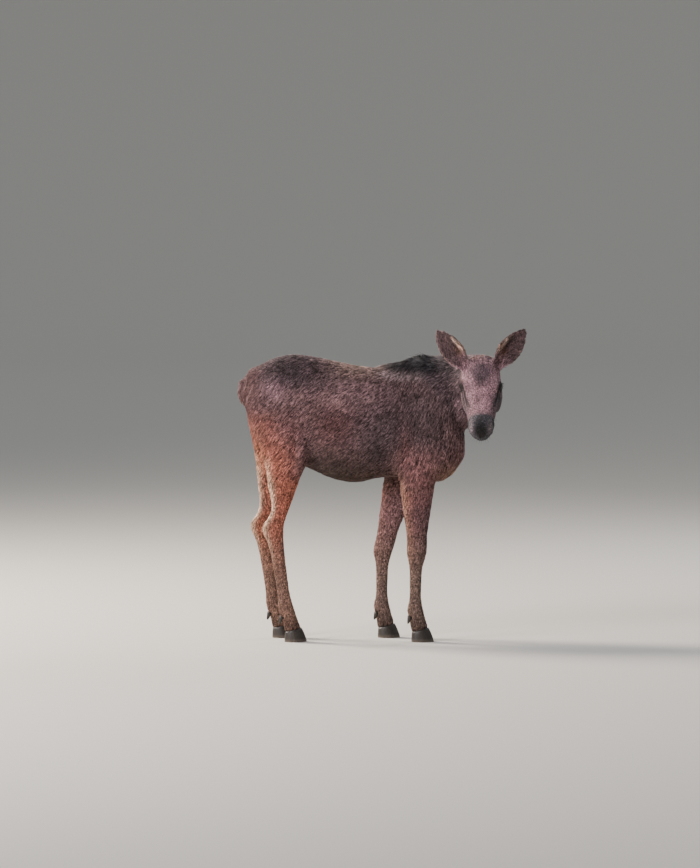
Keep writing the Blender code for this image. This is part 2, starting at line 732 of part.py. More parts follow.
def main():
    for obj in list(bpy.data.objects):
        bpy.data.objects.remove(obj)
    materials = make_materials()
    flesh = fused_flesh()
    for side in SIDES.values():
        combine(flesh, ear_object(side), "UNION")
    hard = hard_pieces(materials)
    for piece in hard:
        if not piece.name.startswith("toe"):
            seat(flesh, piece)
    part_flesh(flesh)
    bodies = loose_bodies(flesh)
    bpy.data.objects.remove(flesh)
    bodies = name_bodies(bodies, materials["coat"])
    model = bpy.data.collections.new("moose_calf")
    bpy.context.scene.collection.children.link(model)
    for obj in bodies + hard:
        model.objects.link(obj)
        bpy.context.scene.collection.objects.unlink(obj)
    stand_on_origin(bodies + hard)


main()
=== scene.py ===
import json
import math
from functools import partial

import bmesh
import bpy
import numpy as np
from mathutils import Matrix, Vector
from mathutils.bvhtree import BVHTree

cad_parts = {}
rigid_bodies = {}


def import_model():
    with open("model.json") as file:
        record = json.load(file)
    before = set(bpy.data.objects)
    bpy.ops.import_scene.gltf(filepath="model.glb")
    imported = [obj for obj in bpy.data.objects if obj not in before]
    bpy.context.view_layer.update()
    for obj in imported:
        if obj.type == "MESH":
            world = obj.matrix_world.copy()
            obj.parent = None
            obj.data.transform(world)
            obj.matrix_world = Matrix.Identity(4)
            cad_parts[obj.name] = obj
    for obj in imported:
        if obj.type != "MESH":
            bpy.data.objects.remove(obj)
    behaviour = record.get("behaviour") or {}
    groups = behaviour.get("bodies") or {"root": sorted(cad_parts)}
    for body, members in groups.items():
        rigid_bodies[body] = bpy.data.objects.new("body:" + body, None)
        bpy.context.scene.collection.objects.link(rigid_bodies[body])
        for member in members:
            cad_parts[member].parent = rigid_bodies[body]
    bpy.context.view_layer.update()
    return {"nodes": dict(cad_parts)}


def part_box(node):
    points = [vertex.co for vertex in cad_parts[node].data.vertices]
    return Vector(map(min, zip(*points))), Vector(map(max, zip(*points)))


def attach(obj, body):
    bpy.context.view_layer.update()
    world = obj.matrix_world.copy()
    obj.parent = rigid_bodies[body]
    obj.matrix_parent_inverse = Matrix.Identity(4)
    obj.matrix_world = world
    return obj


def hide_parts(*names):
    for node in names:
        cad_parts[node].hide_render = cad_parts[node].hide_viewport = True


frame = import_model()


# small helpers

def linear(code):
    # an sRGB hex colour as linear light
    parts = [int(code[i:i + 2], 16) / 255 for i in (1, 3, 5)]
    return np.array([c / 12.92 if c <= 0.04045 else ((c + 0.055) / 1.055) ** 2.4 for c in parts])


def opaque(code):
    return (*linear(code), 1)


def ramp(value, low, high):
    # 0 at low, 1 at high, eased between; low may be the larger
    t = np.clip((value - low) / (high - low), 0, 1)
    return t * t * (3 - 2 * t)


def hill(value, middle, width):
    return np.exp(-((value - middle) / width) ** 2)


def unit(vectors):
    return vectors / np.maximum(np.linalg.norm(vectors, axis=-1, keepdims=True), 1e-9)


def smoothPath(stops, count=40):
    # a rounded path through a few stops
    stops = np.array(stops, float)
    at = np.linspace(0, len(stops) - 1, count)
    i = np.clip(at.astype(int), 0, len(stops) - 2)
    t = (at - i)[:, None]
    padded = np.vstack([2 * stops[0] - stops[1], stops, 2 * stops[-1] - stops[-2]])
    a, b, c, d = (padded[i + k] for k in range(4))
    bend, twist = 2 * a - 5 * b + 4 * c - d, 3 * b - a - 3 * c + d
    return 0.5 * (2 * b + (c - a) * t + bend * t ** 2 + twist * t ** 3)


def alongPath(points, path):
    # each point's distance from a path, and its share of the way along
    best = np.full(len(points), 9.0)
    share = np.zeros(len(points))
    for k, (a, b) in enumerate(zip(path[:-1], path[1:])):
        step = b - a
        t = np.clip((points - a) @ step / max(step @ step, 1e-12), 0, 1)
        gap = np.linalg.norm(points - a - t[:, None] * step, axis=1)
        closer = gap < best
        best[closer] = gap[closer]
        share[closer] = (k + t[closer]) / (len(path) - 1)
    return best, share


# the kinds of node used most
maths, vectorMaths = "ShaderNodeMath", "ShaderNodeVectorMath"
mapRange, noise, mix = "ShaderNodeMapRange", "ShaderNodeTexNoise", "ShaderNodeMix"


def addNode(tree, kind, links=None, **settings):
    # one node with its settings; an input takes a value, a socket, or a node for its first output in use
    node = tree.nodes.new(kind)
    for key, value in settings.items():
        setattr(node, key, value)
    for socket, value in (links or {}).items():
        if isinstance(value, bpy.types.Node):
            value = next(output for output in value.outputs if output.enabled)
        if isinstance(value, bpy.types.NodeSocket):
            tree.links.new(value, node.inputs[socket])
        else:
            node.inputs[socket].default_value = value
    return node


def newPiece(name, mesh, material=None):
    piece = bpy.data.objects.new(name, mesh)
    bpy.context.scene.collection.objects.link(piece)
    if material:
        mesh.materials.clear()
        mesh.materials.append(material)
    mesh.polygons.foreach_set("use_smooth", [True] * len(mesh.polygons))
    return piece


def evaluatedMesh(piece):
    # the mesh that the piece's modifiers make of it; the piece itself is removed
    bpy.context.view_layer.update()
    graph = bpy.context.evaluated_depsgraph_get()
    mesh = bpy.data.meshes.new_from_object(
        piece.evaluated_get(graph), preserve_all_data_layers=True, depsgraph=graph)
    bpy.data.objects.remove(piece)
    return mesh


def mergedSolid(node):
    # a copy of a solid, its loose triangles joined
    work = bmesh.new()
    work.from_mesh(frame["nodes"][node].data)
    bmesh.ops.remove_doubles(work, verts=work.verts, dist=1e-5)
    return work


def toMesh(work, name):
    mesh = bpy.data.meshes.new(name)
    work.to_mesh(mesh)
    work.free()
    return mesh


def fused(mesh, voxel):
    # one closed skin round everything in the mesh
    piece = newPiece("fused", mesh)
    fuse = piece.modifiers.new("fuse", "REMESH")
    fuse.mode, fuse.voxel_size, fuse.use_smooth_shade = "VOXEL", voxel, True
    return evaluatedMesh(piece)


def readArray(items, field, width=1, kind=np.int32):
    flat = np.empty(len(items) * width, kind)
    items.foreach_get(field, flat)
    return flat.reshape(-1, width) if width > 1 else flat


def vertexArray(mesh):
    return readArray(mesh.vertices, "co", 3, np.float32).astype(float)


def vertexNormals(mesh):
    return readArray(mesh.vertex_normals, "vector", 3, np.float32).astype(float)


def edgeArray(mesh):
    return readArray(mesh.edges, "vertices", 2)


def setVertices(mesh, points):
    mesh.vertices.foreach_set("co", points.astype(np.float32).ravel())
    mesh.update()


def setAttribute(mesh, name, kind, values, domain="POINT"):
    layer = mesh.attributes.new(name, kind, domain)
    field = {"FLOAT_VECTOR": "vector", "FLOAT_COLOR": "color"}.get(kind, "value")
    number = np.int32 if kind == "INT" else np.float32
    layer.data.foreach_set(field, np.ascontiguousarray(values, number).ravel())


def neighbourMean(values, edges):
    a, b = edges.T
    count = len(values)
    degree = np.maximum(np.bincount(a, minlength=count) + np.bincount(b, minlength=count), 1)
    sums = [np.bincount(a, values[b, k], count) + np.bincount(b, values[a, k], count)
            for k in range(values.shape[1])]
    return np.stack(sums, 1) / degree[:, None]


def relax(values, edges, rounds, share):
    # evens values out over a mesh; share is how far each goes to its neighbours' mean
    for _ in range(rounds):
        values = values + (neighbourMean(values, edges) - values) * share
    return values


# the head's own frame: x to the nose, y to its left, z to the crown

headSettings = {
    "yaw": -92, "pitch": 43, "roll": 1.5,  # degrees
    "eye": (0.141, 0.0745, -0.051),  # m, centre of the left eyeball
    "eyeRadius": 0.0185,
}
headTurn = (Matrix.Rotation(math.radians(headSettings["yaw"]), 3, "Z")
            @ Matrix.Rotation(math.radians(headSettings["pitch"]), 3, "Y")
            @ Matrix.Rotation(math.radians(headSettings["roll"]), 3, "X"))
eyeMiddles = [sum(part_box("eye_" + side), Vector()) / 2 for side in ("left", "right")]
ex, ey, ez = headSettings["eye"]
poll = np.array((eyeMiddles[0] + eyeMiddles[1]) / 2 - headTurn @ Vector((ex, 0, ez)))
turn = np.array(headTurn)
trunkMiddle = (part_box("trunk")[0].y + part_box("trunk")[1].y) / 2  # the trunk's plane of symmetry


def toHead(points):
    return (points - poll) @ turn


def fromHead(points):
    return np.asarray(points) @ turn.T + poll


def fromTrunk(place):
    # x, distance to the right of the trunk's plane, z
    x, y, z = place
    return np.array((x, trunkMiddle - y, z))


def eyeAxes(side):
    # centre, forward along the slit, up across it, and outward, in the head's frame
    centre = np.array((ex, side * ey, ez))
    outward = unit(np.array((0.20, side * 0.95, 0.16)))
    slope = math.radians(17)  # the front corner is the lower
    ahead = np.array((math.cos(slope), 0, -math.sin(slope)))
    ahead = unit(ahead - outward * (ahead @ outward))
    up = np.cross(outward, ahead)
    up = up if up[2] > 0 else -up
    return centre, ahead, up, outward


lidSettings = {
    "halfLength": 0.0158, "upper": 0.0104, "lower": 0.0084,  # m, the opening
    "thickness": 0.0022, "sunk": 0.0060,  # m over the eyeball, and under it in the opening
    "shoulder": 0.0150, "reach": 0.034,  # m from the eye's axis: lids, then the face again
    # in openings, 1 being the edge of the lids; a crease's second number is its depth in m
    "rim": (0.86, 1.14), "upperCrease": (1.62, 0.0014), "lowerCrease": (1.75, 0.0008), "creaseWidth": 0.16,
}


def lidOpening(local, side):
    # below 1 inside the opening between the lids
    centre, ahead, up, outward = eyeAxes(side)
    onBall = unit(local - centre) * headSettings["eyeRadius"]
    a, b, d = onBall @ ahead, onBall @ up, onBall @ outward
    half = np.where(b > 0, lidSettings["upper"], lidSettings["lower"])
    return np.where(d > 0, (a / lidSettings["halfLength"]) ** 2 + np.abs(b) / half, 9.0)


def eyeDistance(local, side):
    return np.linalg.norm(local - eyeAxes(side)[0], axis=1)


# the coat on each part of the body: its depth over the skin, hair length and width (m), lift,
# tufts per square metre, and how much the skin under it is evened out

coatByPart = {
    "trunk": (0.0085, 0.030, 0.0036, 0.17, 81000, 1.0),
    "neck": (0.0090, 0.034, 0.0036, 0.18, 85000, 1.0),
    "head": (0.0026, 0.0095, 0.0020, 0.22, 150000, 0.35),
    "tail": (0.0060, 0.036, 0.0034, 0.24, 100000, 0.5),
    "ear": (0.0009, 0.0105, 0.0019, 0.20, 150000, 0.12),
    "forearm": (0.0048, 0.019, 0.0031, 0.16, 94000, 0.6),
    "fore_cannon": (0.0030, 0.0125, 0.0025, 0.19, 98000, 0.30),
    "gaskin": (0.0048, 0.019, 0.0031, 0.16, 94000, 0.6),
    "hind_cannon": (0.0030, 0.0125, 0.0025, 0.19, 98000, 0.30),
}
fleshNodes = ["trunk", "neck", "head", "tail", "ear_left", "ear_right"]
fleshNodes += [f"{part}_{side}" for part in ("forearm", "fore_cannon", "gaskin", "hind_cannon")
               for side in ("left", "right")]


def partOf(node):
    return node.replace("_left", "").replace("_right", "")


partNumbers = np.array([coatByPart[partOf(node)] for node in fleshNodes])


# hide: one skin over all the flesh

hideSettings = {
    "swell": 0.0015,  # m, so that the parted nodes fuse again
    "voxel": 0.0076,  # m
    "rounds": 26,  # of evening out
    "blend": 26,  # rounds over which one part's coat passes into the next
    "fineEye": 0.034, "fineCrease": 0.015,  # m from an eye or a crease, with a mesh twice as fine
    "finestEye": 0.026, "finestHeight": 0.004,  # m from an eye and out from its centre, twice as fine again
}


def meltedNodes():
    # copies of the flesh and the eyeballs, swollen a little and in one mesh
    melt = bmesh.new()
    for node in fleshNodes + ["eye_left", "eye_right"]:
        part = mergedSolid(node)
        part.normal_update()
        for vertex, normal in [(v, v.normal.copy()) for v in part.verts]:
            vertex.co += normal * hideSettings["swell"]
        mesh = toMesh(part, "part")
        melt.from_mesh(mesh)
        bpy.data.meshes.remove(mesh)
    return toMesh(melt, "melt")


def fleshTree():
    # the solids as one search tree, and which node each of its faces comes from
    points, faces, owners = [], [], []
    for number, node in enumerate(fleshNodes):
        mesh = frame["nodes"][node].data
        mesh.calc_loop_triangles()
        start = len(points)
        points += [v.co.copy() for v in mesh.vertices]
        faces += [[start + i for i in t.vertices] for t in mesh.loop_triangles]
        owners += [number] * len(mesh.loop_triangles)
    return BVHTree.FromPolygons(points, faces), np.array(owners)


def nearestFlesh(points, tree, owners):
    # the nearest node, and the height over its surface
    found = np.zeros(len(points), int)
    heights = np.zeros(len(points))
    for i, point in enumerate(points):
        place, normal, face, gap = tree.find_nearest(Vector(point))
        found[i] = owners[face]
        heights[i] = gap if (Vector(point) - place).dot(normal) > 0 else -gap
    return found, heights


def refine(mesh, chosen):
    # splits the faces whose vertices are all chosen, and reads the mesh again
    work = bmesh.new()
    work.from_mesh(mesh)
    work.verts.ensure_lookup_table()
    edges = [e for e in work.edges if chosen[e.verts[0].index] and chosen[e.verts[1].index]]
    bmesh.ops.subdivide_edges(work, edges=edges, cuts=1, use_grid_fill=True)
    work.to_mesh(mesh)
    work.free()
    return vertexArray(mesh), edgeArray(mesh)


def nearEyes(local, reach, height=0):
    # round either eye, and out from its centre
    found = np.zeros(len(local), bool)
    for side in (1, -1):
        centre, _, _, outward = eyeAxes(side)
        found |= (eyeDistance(local, side) < reach) & ((local - centre) @ outward > height)
    return found


def inFace(local):
    # the front of the head, where the skin needs a finer mesh
    return (local[:, 0] > 0.055) & (local[:, 0] < 0.46) & (np.abs(local[:, 1]) < 0.13) & (local[:, 2] > -0.18)


earSettings = {
    "root": (0.012, 0.080, -0.028), "axis": (-0.53, 0.64, 0.57), "facing": (0.62, 0.18, 0.76),
    "length": 0.240,  # m
}


def earPlace(local, side):
    # along the ear from its root, 0 to 1; across it towards the crown; out of its cup; its axis and facing
    mirror = np.array((1, side, 1))
    axis = unit(np.array(earSettings["axis"])) * mirror
    facing = np.array(earSettings["facing"]) * mirror
    facing = unit(facing - axis * (facing @ axis))
    inner = np.cross(axis, facing) * side
    inner = inner if inner[1] * side < 0 else -inner
    offset = local - np.array(earSettings["root"]) * mirror
    return offset @ axis / earSettings["length"], offset @ inner, offset @ facing, axis, facing


def onEar(local):
    # the free part of either ear
    found = np.zeros(len(local), bool)
    for side in (1, -1):
        along, across, out, _, _ = earPlace(local, side)
        found |= (along > 0.16) & (along < 1.2) & (np.abs(across) < 0.09) & (np.abs(out) < 0.07) \
            & (local[:, 1] * side > 0.05)
    return found


def earStrip(along, across):
    # the long pale hair down the inner side of the cup
    middle = 0.038 - 0.006 * np.clip(along, 0, 1)
    return hill(across, middle, 0.0080) * ramp(along, 0.56, 0.30) * ramp(along, 0.08, 0.16)


# creases and soft ridges, the left side's: path, half width, depth (minus stands out), lip beside it
headLines = {
    "tearGroove": ([(0.156, 0.090, -0.060), (0.172, 0.084, -0.070), (0.196, 0.076, -0.084),
                    (0.228, 0.066, -0.098)], 0.0048, 0.0036, 0.0010),
    "tearLine": ([(0.158, 0.080, -0.030), (0.178, 0.075, -0.040), (0.197, 0.071, -0.053),
                  (0.229, 0.065, -0.053), (0.272, 0.054, -0.045), (0.305, 0.045, -0.038)], 0.0060, 0.0012, 0),
    "browEdge": ([(0.108, 0.092, -0.030), (0.135, 0.096, -0.022), (0.168, 0.086, -0.030)],
                 0.0060, -0.0022, 0),
    "nostril": ([(0.357, 0.052, -0.047), (0.368, 0.050, -0.056), (0.378, 0.046, -0.066),
                 (0.383, 0.040, -0.077), (0.380, 0.036, -0.084)], 0.0052, 0.0105, 0.0022),
    "nostrilFold": ([(0.340, 0.058, -0.052), (0.346, 0.060, -0.070), (0.356, 0.056, -0.086)],
                    0.0050, 0.0020, 0.0008),
    "mouth": ([(0.262, 0.052, -0.108), (0.295, 0.047, -0.118), (0.335, 0.040, -0.125),
               (0.366, 0.030, -0.131), (0.380, 0.014, -0.133), (0.383, 0.000, -0.133)],
              0.0038, 0.0050, 0.0014),
    "mouthCorner": ([(0.262, 0.054, -0.104), (0.258, 0.054, -0.114)], 0.0040, 0.0024, 0),
    "jawEdge": ([(0.060, 0.070, -0.165), (0.130, 0.066, -0.168), (0.200, 0.052, -0.150)],
                0.0140, -0.0028, 0),
    "faceCrest": ([(0.120, 0.094, -0.078), (0.180, 0.082, -0.086), (0.245, 0.064, -0.090)],
                  0.0090, -0.0022, 0),
    "philtrum": ([(0.398, 0.000, -0.072), (0.411, 0.000, -0.092), (0.405, 0.000, -0.115)],
                 0.0030, 0.0020, 0.0008),
}

# the same over the body: x, distance from the trunk's plane, z
bodyLines = {
    "flankFold": ([(-0.418, 0.15, 0.725), (-0.385, 0.17, 0.80), (-0.372, 0.19, 0.88), (-0.38, 0.18, 0.96)],
                  0.016, 0.0050, 0.0020),
    "bladeEdge": ([(0.100, 0.17, 0.86), (0.085, 0.16, 0.98), (0.105, 0.13, 1.10), (0.130, 0.09, 1.19)],
                  0.022, 0.0042, 0.0018),
    "armFront": ([(0.262, 0.16, 0.80), (0.285, 0.15, 0.90), (0.280, 0.13, 1.00)], 0.020, 0.0034, 0.0014),
    "elbowFold": ([(0.080, 0.15, 0.76), (0.098, 0.16, 0.82), (0.130, 0.17, 0.88)], 0.014, 0.0044, 0.0014),
    "thighLine": ([(-0.520, 0.10, 0.76), (-0.505, 0.14, 0.86), (-0.490, 0.16, 0.96), (-0.465, 0.15, 1.04)],
                  0.018, 0.0034, 0.0012),
    "lastRib": ([(-0.200, 0.19, 0.86), (-0.225, 0.19, 0.96), (-0.215, 0.17, 1.06)], 0.026, 0.0026, 0.0010),
    "hamString": ([(-0.505, 0.10, 0.66), (-0.502, 0.10, 0.60), (-0.512, 0.10, 0.54)], 0.008, 0.0030, 0.0008),
}


def growHide():
    plan = hideSettings
    mesh = fused(meltedNodes(), plan["voxel"])
    tree, owners = fleshTree()
    points, edges = vertexArray(mesh), edgeArray(mesh)
    found, _ = nearestFlesh(points, tree, owners)
    share = relax(partNumbers[found][:, 5:6], edges, 8, 0.5)
    points = relax(points, edges, plan["rounds"], 0.5 * share)
    setVertices(mesh, points)
    print("hide fused,", len(points), "vertices")

    # a finer mesh on the face and ears, and a finer one yet at the eyes, nostrils and mouth
    local = toHead(points)
    points, edges = refine(mesh, inFace(local) | onEar(local))
    local = toHead(points)
    points = relax(points, edges, 3, 0.5 * (inFace(local) | onEar(local))[:, None])
    points = relax(points, edges, 12, 0.5 * onEar(local)[:, None])
    setVertices(mesh, points)
    local = toHead(points)
    close = nearEyes(local, plan["fineEye"])
    for name in ("nostril", "mouth", "tearGroove"):
        for side in (1, -1):
            path = np.array(headLines[name][0]) * (1, side, 1)
            close |= alongPath(local, smoothPath(path))[0] < plan["fineCrease"]
    points, edges = refine(mesh, close)
    local = toHead(points)
    points = relax(points, edges, 2, 0.4 * inFace(local)[:, None])
    setVertices(mesh, points)
    points, edges = refine(mesh, nearEyes(local, plan["finestEye"], plan["finestHeight"]))
    print("hide refined,", len(points), "vertices")

    # what each vertex belongs to, blended over the seams; then the skin sinks by the depth of its coat
    found, heights = nearestFlesh(points, tree, owners)
    belongs = relax(np.eye(len(fleshNodes))[found], edges, plan["blend"], 0.5)
    depth = (belongs @ partNumbers)[:, 0] + extraDepth(points, belongs)
    heights = relax(heights[:, None], edges, 10, 0.5)[:, 0]
    points = points - vertexNormals(mesh) * (heights + depth)[:, None]
    points = relax(points, edges, 10, 0.02 + 0.45 * onEar(toHead(points))[:, None])
    setVertices(mesh, points)
    return mesh, belongs


def weightOf(belongs, *parts):
    return sum(belongs[:, i] for i, node in enumerate(fleshNodes) if partOf(node) in parts)


def maneShare(points):
    # where the coat is longest: over the withers and along the crest
    x, y, z = points.T
    return ramp(z, 1.13, 1.23) * hill(x, 0.150, 0.155) * hill(y, trunkMiddle, 0.085)


def extraDepth(points, belongs):
    # of the coat, in m: more on the mane, less on the muzzle
    muzzle = ramp(toHead(points)[:, 0], 0.27, 0.33) * weightOf(belongs, "head")
    return 0.007 * maneShare(points) - 0.0014 * muzzle


def atEye(side, a, b, d):
    # places from an eye's centre: along the slit, up across it and outward
    centre, ahead, up, outward = eyeAxes(side)
    return centre + np.outer(a, ahead) + np.outer(b, up) + np.outer(d, outward)


def shapeLids(local):
    # raises the skin round each eyeball into lids, and sinks it in the opening between them
    ball, plan = headSettings["eyeRadius"], lidSettings
    shell = ball + plan["thickness"]
    for side in (1, -1):
        centre, ahead, up, outward = eyeAxes(side)
        offset = local - centre
        a, b, d = offset @ ahead, offset @ up, offset @ outward
        across = np.hypot(a, b)
        front = (d > 0) & (across < plan["reach"])
        pad = np.sqrt(np.maximum(shell ** 2 - np.minimum(across, plan["shoulder"]) ** 2, 0))
        blend = (1 - ramp(across, plan["shoulder"] - 0.002, plan["reach"])) * front
        raised = d * (1 - blend) + pad * blend
        raised = np.where((b > 0.010) & (d > 0), np.maximum(raised, d), raised)  # the brow stays
        opening = lidOpening(atEye(side, a, b, raised), side)
        for (line, depth), half in ((plan["upperCrease"], b > 0), (plan["lowerCrease"], b < 0)):
            raised = raised - depth * hill(opening, line, plan["creaseWidth"]) * half * (across < 0.022)
        # the rim is drawn onto the line of the opening, so that it isn't ragged
        inner, outer = plan["rim"]
        close = (across < 0.020) & (d > 0)
        square = (a / plan["halfLength"]) ** 2
        straight = np.abs(b) / np.where(b > 0, plan["upper"], plan["lower"])
        onLine = (-straight + np.sqrt(straight ** 2 + 4 * square)) / np.maximum(2 * square, 1e-9)
        stretch = np.where((opening > inner) & (opening < outer) & close & (square > 1e-4), onLine, 1.0)
        a, b = a * stretch, b * stretch
        sunk = ball - plan["sunk"] * ramp(opening, 1.0, 0.75)
        low = np.sqrt(np.maximum(sunk ** 2 - np.minimum(np.hypot(a, b), 0.95 * sunk) ** 2, 0))
        local = atEye(side, a, b, np.where((opening <= inner) & close, low, raised))
    return local


# fullness given to the muzzle, in the head's frame: middle, reach along each axis, push in metres
muzzleSwells = (
    ((0.398, 0.000, -0.092), (0.032, 0.048, 0.034), (0.0065, 0.0, -0.0040)),  # the lip hanging over
    ((0.380, 0.044, -0.066), (0.026, 0.022, 0.026), (0.0015, 0.0025, 0.0015)),  # nostril wings
    ((0.325, 0.000, -0.150), (0.034, 0.034, 0.026), (0.0, 0.0, -0.0050)),  # chin
    ((0.235, 0.000, 0.000), (0.060, 0.050, 0.050), (0.0, 0.0, -0.0045)),  # dip of the bridge
    ((0.285, 0.052, -0.070), (0.048, 0.026, 0.040), (0.0, 0.0075, 0.0)),  # sides of the nose
)


def swellMuzzle(points):
    local = toHead(points)
    push = np.zeros(points.shape)
    for middle, reach, way in muzzleSwells:
        for side in ((1, -1) if middle[1] else (1,)):
            mirror = np.array((1, side, 1))
            apart = np.linalg.norm((local - np.array(middle) * mirror) / np.array(reach), axis=1)
            push += np.exp(-apart ** 2)[:, None] * (np.array(way) * mirror)
    return np.where(inFace(local)[:, None], fromHead(local + push), points)


def sculptHide(mesh):
    # lids, nostrils, lips and folds, by moving the skin's own vertices
    setVertices(mesh, swellMuzzle(vertexArray(mesh)))
    points, edges = vertexArray(mesh), edgeArray(mesh)
    skinTree = BVHTree.FromPolygons([Vector(p) for p in points], [list(f.vertices) for f in mesh.polygons])
    normals = relax(vertexNormals(mesh), edges, 2, 0.5)
    moved = points.copy()
    snapped = {}
    for lines, place in ((headLines, fromHead), (bodyLines, fromTrunk)):
        for name, (path, width, depth, lip) in lines.items():
            for side in (1, -1):
                if side < 0 and all(abs(y) < 1e-6 for _, y, _ in path):
                    continue
                stops = [skinTree.find_nearest(Vector(place((x, side * y, z))))[0] for x, y, z in path]
                snapped[name, side] = smoothPath(stops)
                gap, share = alongPath(points, snapped[name, side])
                ends = ramp(share, -0.05, 0.2) * ramp(share, 1.05, 0.8)
                if name == "mouth":
                    ends = ramp(share, 0.0, 0.22)
                fall = depth * np.exp(-(gap / width) ** 2) - lip * np.exp(-((gap - 2 * width) / width) ** 2)
                moved -= normals * (fall * ends)[:, None]
    local = shapeLids(toHead(moved))
    setVertices(mesh, np.where(inFace(local)[:, None], fromHead(local), moved))
    return snapped


print("growing the hide")
hideMesh, belongs = growHide()
facePaths = sculptHide(hideMesh)
print("hide sculpted,", len(hideMesh.polygons), "faces")


# lie, length and thickness of the coat, and its markings, as attributes of the hide

combSettings = {
    "flow": (-0.80, -0.85),  # x and z of the lie on the side of the body
    "rump": (-0.70, -0.95),
    "shoulder": (-0.32, -1.00),
    "leg": (-0.14, -1.00),
    "fall": (-0.10, -1.00),  # on the breast, buttocks and tail
    "neckFall": 0.55,  # how much the lie on the neck falls
}


def combField(points, belongs):
    # the way the hair lies at each vertex
    x, _, z = points.T
    lx, ly, _ = toHead(points).T
    ones = np.ones(len(x))
    rump = ramp(x, -0.28, -0.45)
    shoulder = ramp(x, 0.00, 0.16)
    weights = np.stack([1 - np.maximum(rump, shoulder), rump, shoulder], 1)
    trunkLie = np.zeros((len(points), 3))
    trunkLie[:, [0, 2]] = weights @ np.array([combSettings[k] for k in ("flow", "rump", "shoulder")])
    leg, fall = (np.array((combSettings[k][0], 0, combSettings[k][1])) for k in ("leg", "fall"))
    breast = ramp(x, 0.24, 0.34)
    buttock = ramp(x, -0.56, -0.62) * ramp(z, 0.80, 0.95)
    for falling in (breast[:, None], buttock[:, None]):
        trunkLie = trunkLie * (1 - falling) + fall * falling
    withers = np.array((0.10, trunkMiddle, 1.10))
    neckLie = unit(withers - poll) + np.array((0, 0, -combSettings["neckFall"]))
    sideways = np.sign(ly) * ramp(np.abs(ly), 0.01, 0.08)
    headLie = np.stack([-ones, 0.28 * sideways, -0.32 * ramp(np.abs(ly), 0.02, 0.08)], 1)
    chinLie = np.stack([-0.8 * ones, 0.5 * sideways, -0.6 * ones], 1)
    chin = ramp(lx, 0.30, 0.36)[:, None]
    headLie = (headLie * (1 - chin) + chinLie * chin) @ turn.T
    lies = {"trunk": unit(trunkLie), "neck": unit(neckLie), "head": unit(headLie), "tail": fall}
    total = np.zeros((len(points), 3))
    for i, node in enumerate(fleshNodes):
        lie = lies.get(partOf(node), unit(leg))
        if partOf(node) == "ear":
            axis = earPlace(points, 1 if node.endswith("left") else -1)[3]
            lie = turn @ axis
        total += belongs[:, i:i + 1] * lie
    return unit(total)


def earWeight(belongs, side):
    return belongs[:, fleshNodes.index("ear_left" if side > 0 else "ear_right")]


# places whose hair differs from the rest of their part: longer and wider (m), and more lifted
coatPlaces = {
    "mane": (0.018, 0, 0.03), "crest": (0.010, 0, 0.03), "underside": (0.006, 0, -0.07),
    "throat": (0.012, 0, 0), "crown": (0.008, 0.0010, 0), "muzzle": (-0.0030, -0.0003, 0),
    "eyes": (-0.0032, -0.0004, 0), "earStrip": (0.020, 0, 0.22), "earCup": (0.004, 0, 0),
    "legBack": (0.010, 0, 0), "coronet": (0.006, 0, -0.05),
}
coatSettings = {
    "length": 0.004, "width": 0.0014, "lift": (0.08, 0.9),  # least, and most
    "faceThicker": 60000, "earThinner": 40000,  # tufts per square metre
    "nostril": 0.0062, "mouth": 0.0022, "hoof": 0.058,  # m, bare this near, and below this height
}


def coatFields(points, normals, belongs):
    # length, width, lift and tufts per square metre at each vertex
    local = toHead(points)
    lx, z, up = local[:, 0], points[:, 2], normals[:, 2]
    head, neck = weightOf(belongs, "head"), weightOf(belongs, "neck")
    length, width, lift, thick = (belongs @ partNumbers)[:, 1:5].T
    thick = thick + coatSettings["faceThicker"] * head * ramp(lx, 0.10, 0.16)
    eyes, strips, cups = np.zeros((3, len(points)))
    for side in (1, -1):
        distance = eyeDistance(local, side)
        eyes = np.maximum(eyes, ramp(distance, 0.040, 0.022))
        thick = np.where((lidOpening(local, side) < 1.28) & (distance < 0.03), 0, thick)
        along, across, _, _, facing = earPlace(local, side)
        cup = ramp(normals @ turn @ facing, -0.1, 0.5) * earWeight(belongs, side)
        strip = cup * earStrip(along, across)
        strips = strips + strip
        cups = cups + cup * (1 - strip)
        for line in ("nostril", "mouth"):
            thick = np.where(alongPath(points, facePaths[line, side])[0] < coatSettings[line], 0, thick)
    where = {
        "mane": maneShare(points), "crest": neck * ramp(up, 0.35, 0.85),
        "underside": ramp(up, -0.45, -0.90) * weightOf(belongs, "trunk"),
        "throat": (neck + head) * ramp(up, -0.2, -0.8) * ramp(lx, 0.24, 0.12),
        "crown": head * ramp(lx, 0.11, -0.02), "muzzle": head * ramp(lx, 0.28, 0.34), "eyes": eyes * head,
        "earStrip": strips, "earCup": cups,
        "legBack": ramp(normals[:, 0], -0.35, -0.9) * weightOf(belongs, "gaskin", "forearm"),
        "coronet": ramp(z, 0.105, 0.070),
    }
    for place, share in where.items():
        longer, wider, lifted = coatPlaces[place]
        length = length + longer * share
        width = width + wider * share
        lift = lift + lifted * share
    thick = (thick - coatSettings["earThinner"] * cups) * (1 - ramp(noseLeather(points), 0.35, 0.75))
    thick = np.where(z < coatSettings["hoof"], 0, thick)
    return (np.maximum(length, coatSettings["length"]), np.maximum(width, coatSettings["width"]),
            np.clip(lift, *coatSettings["lift"]), np.maximum(thick, 0))


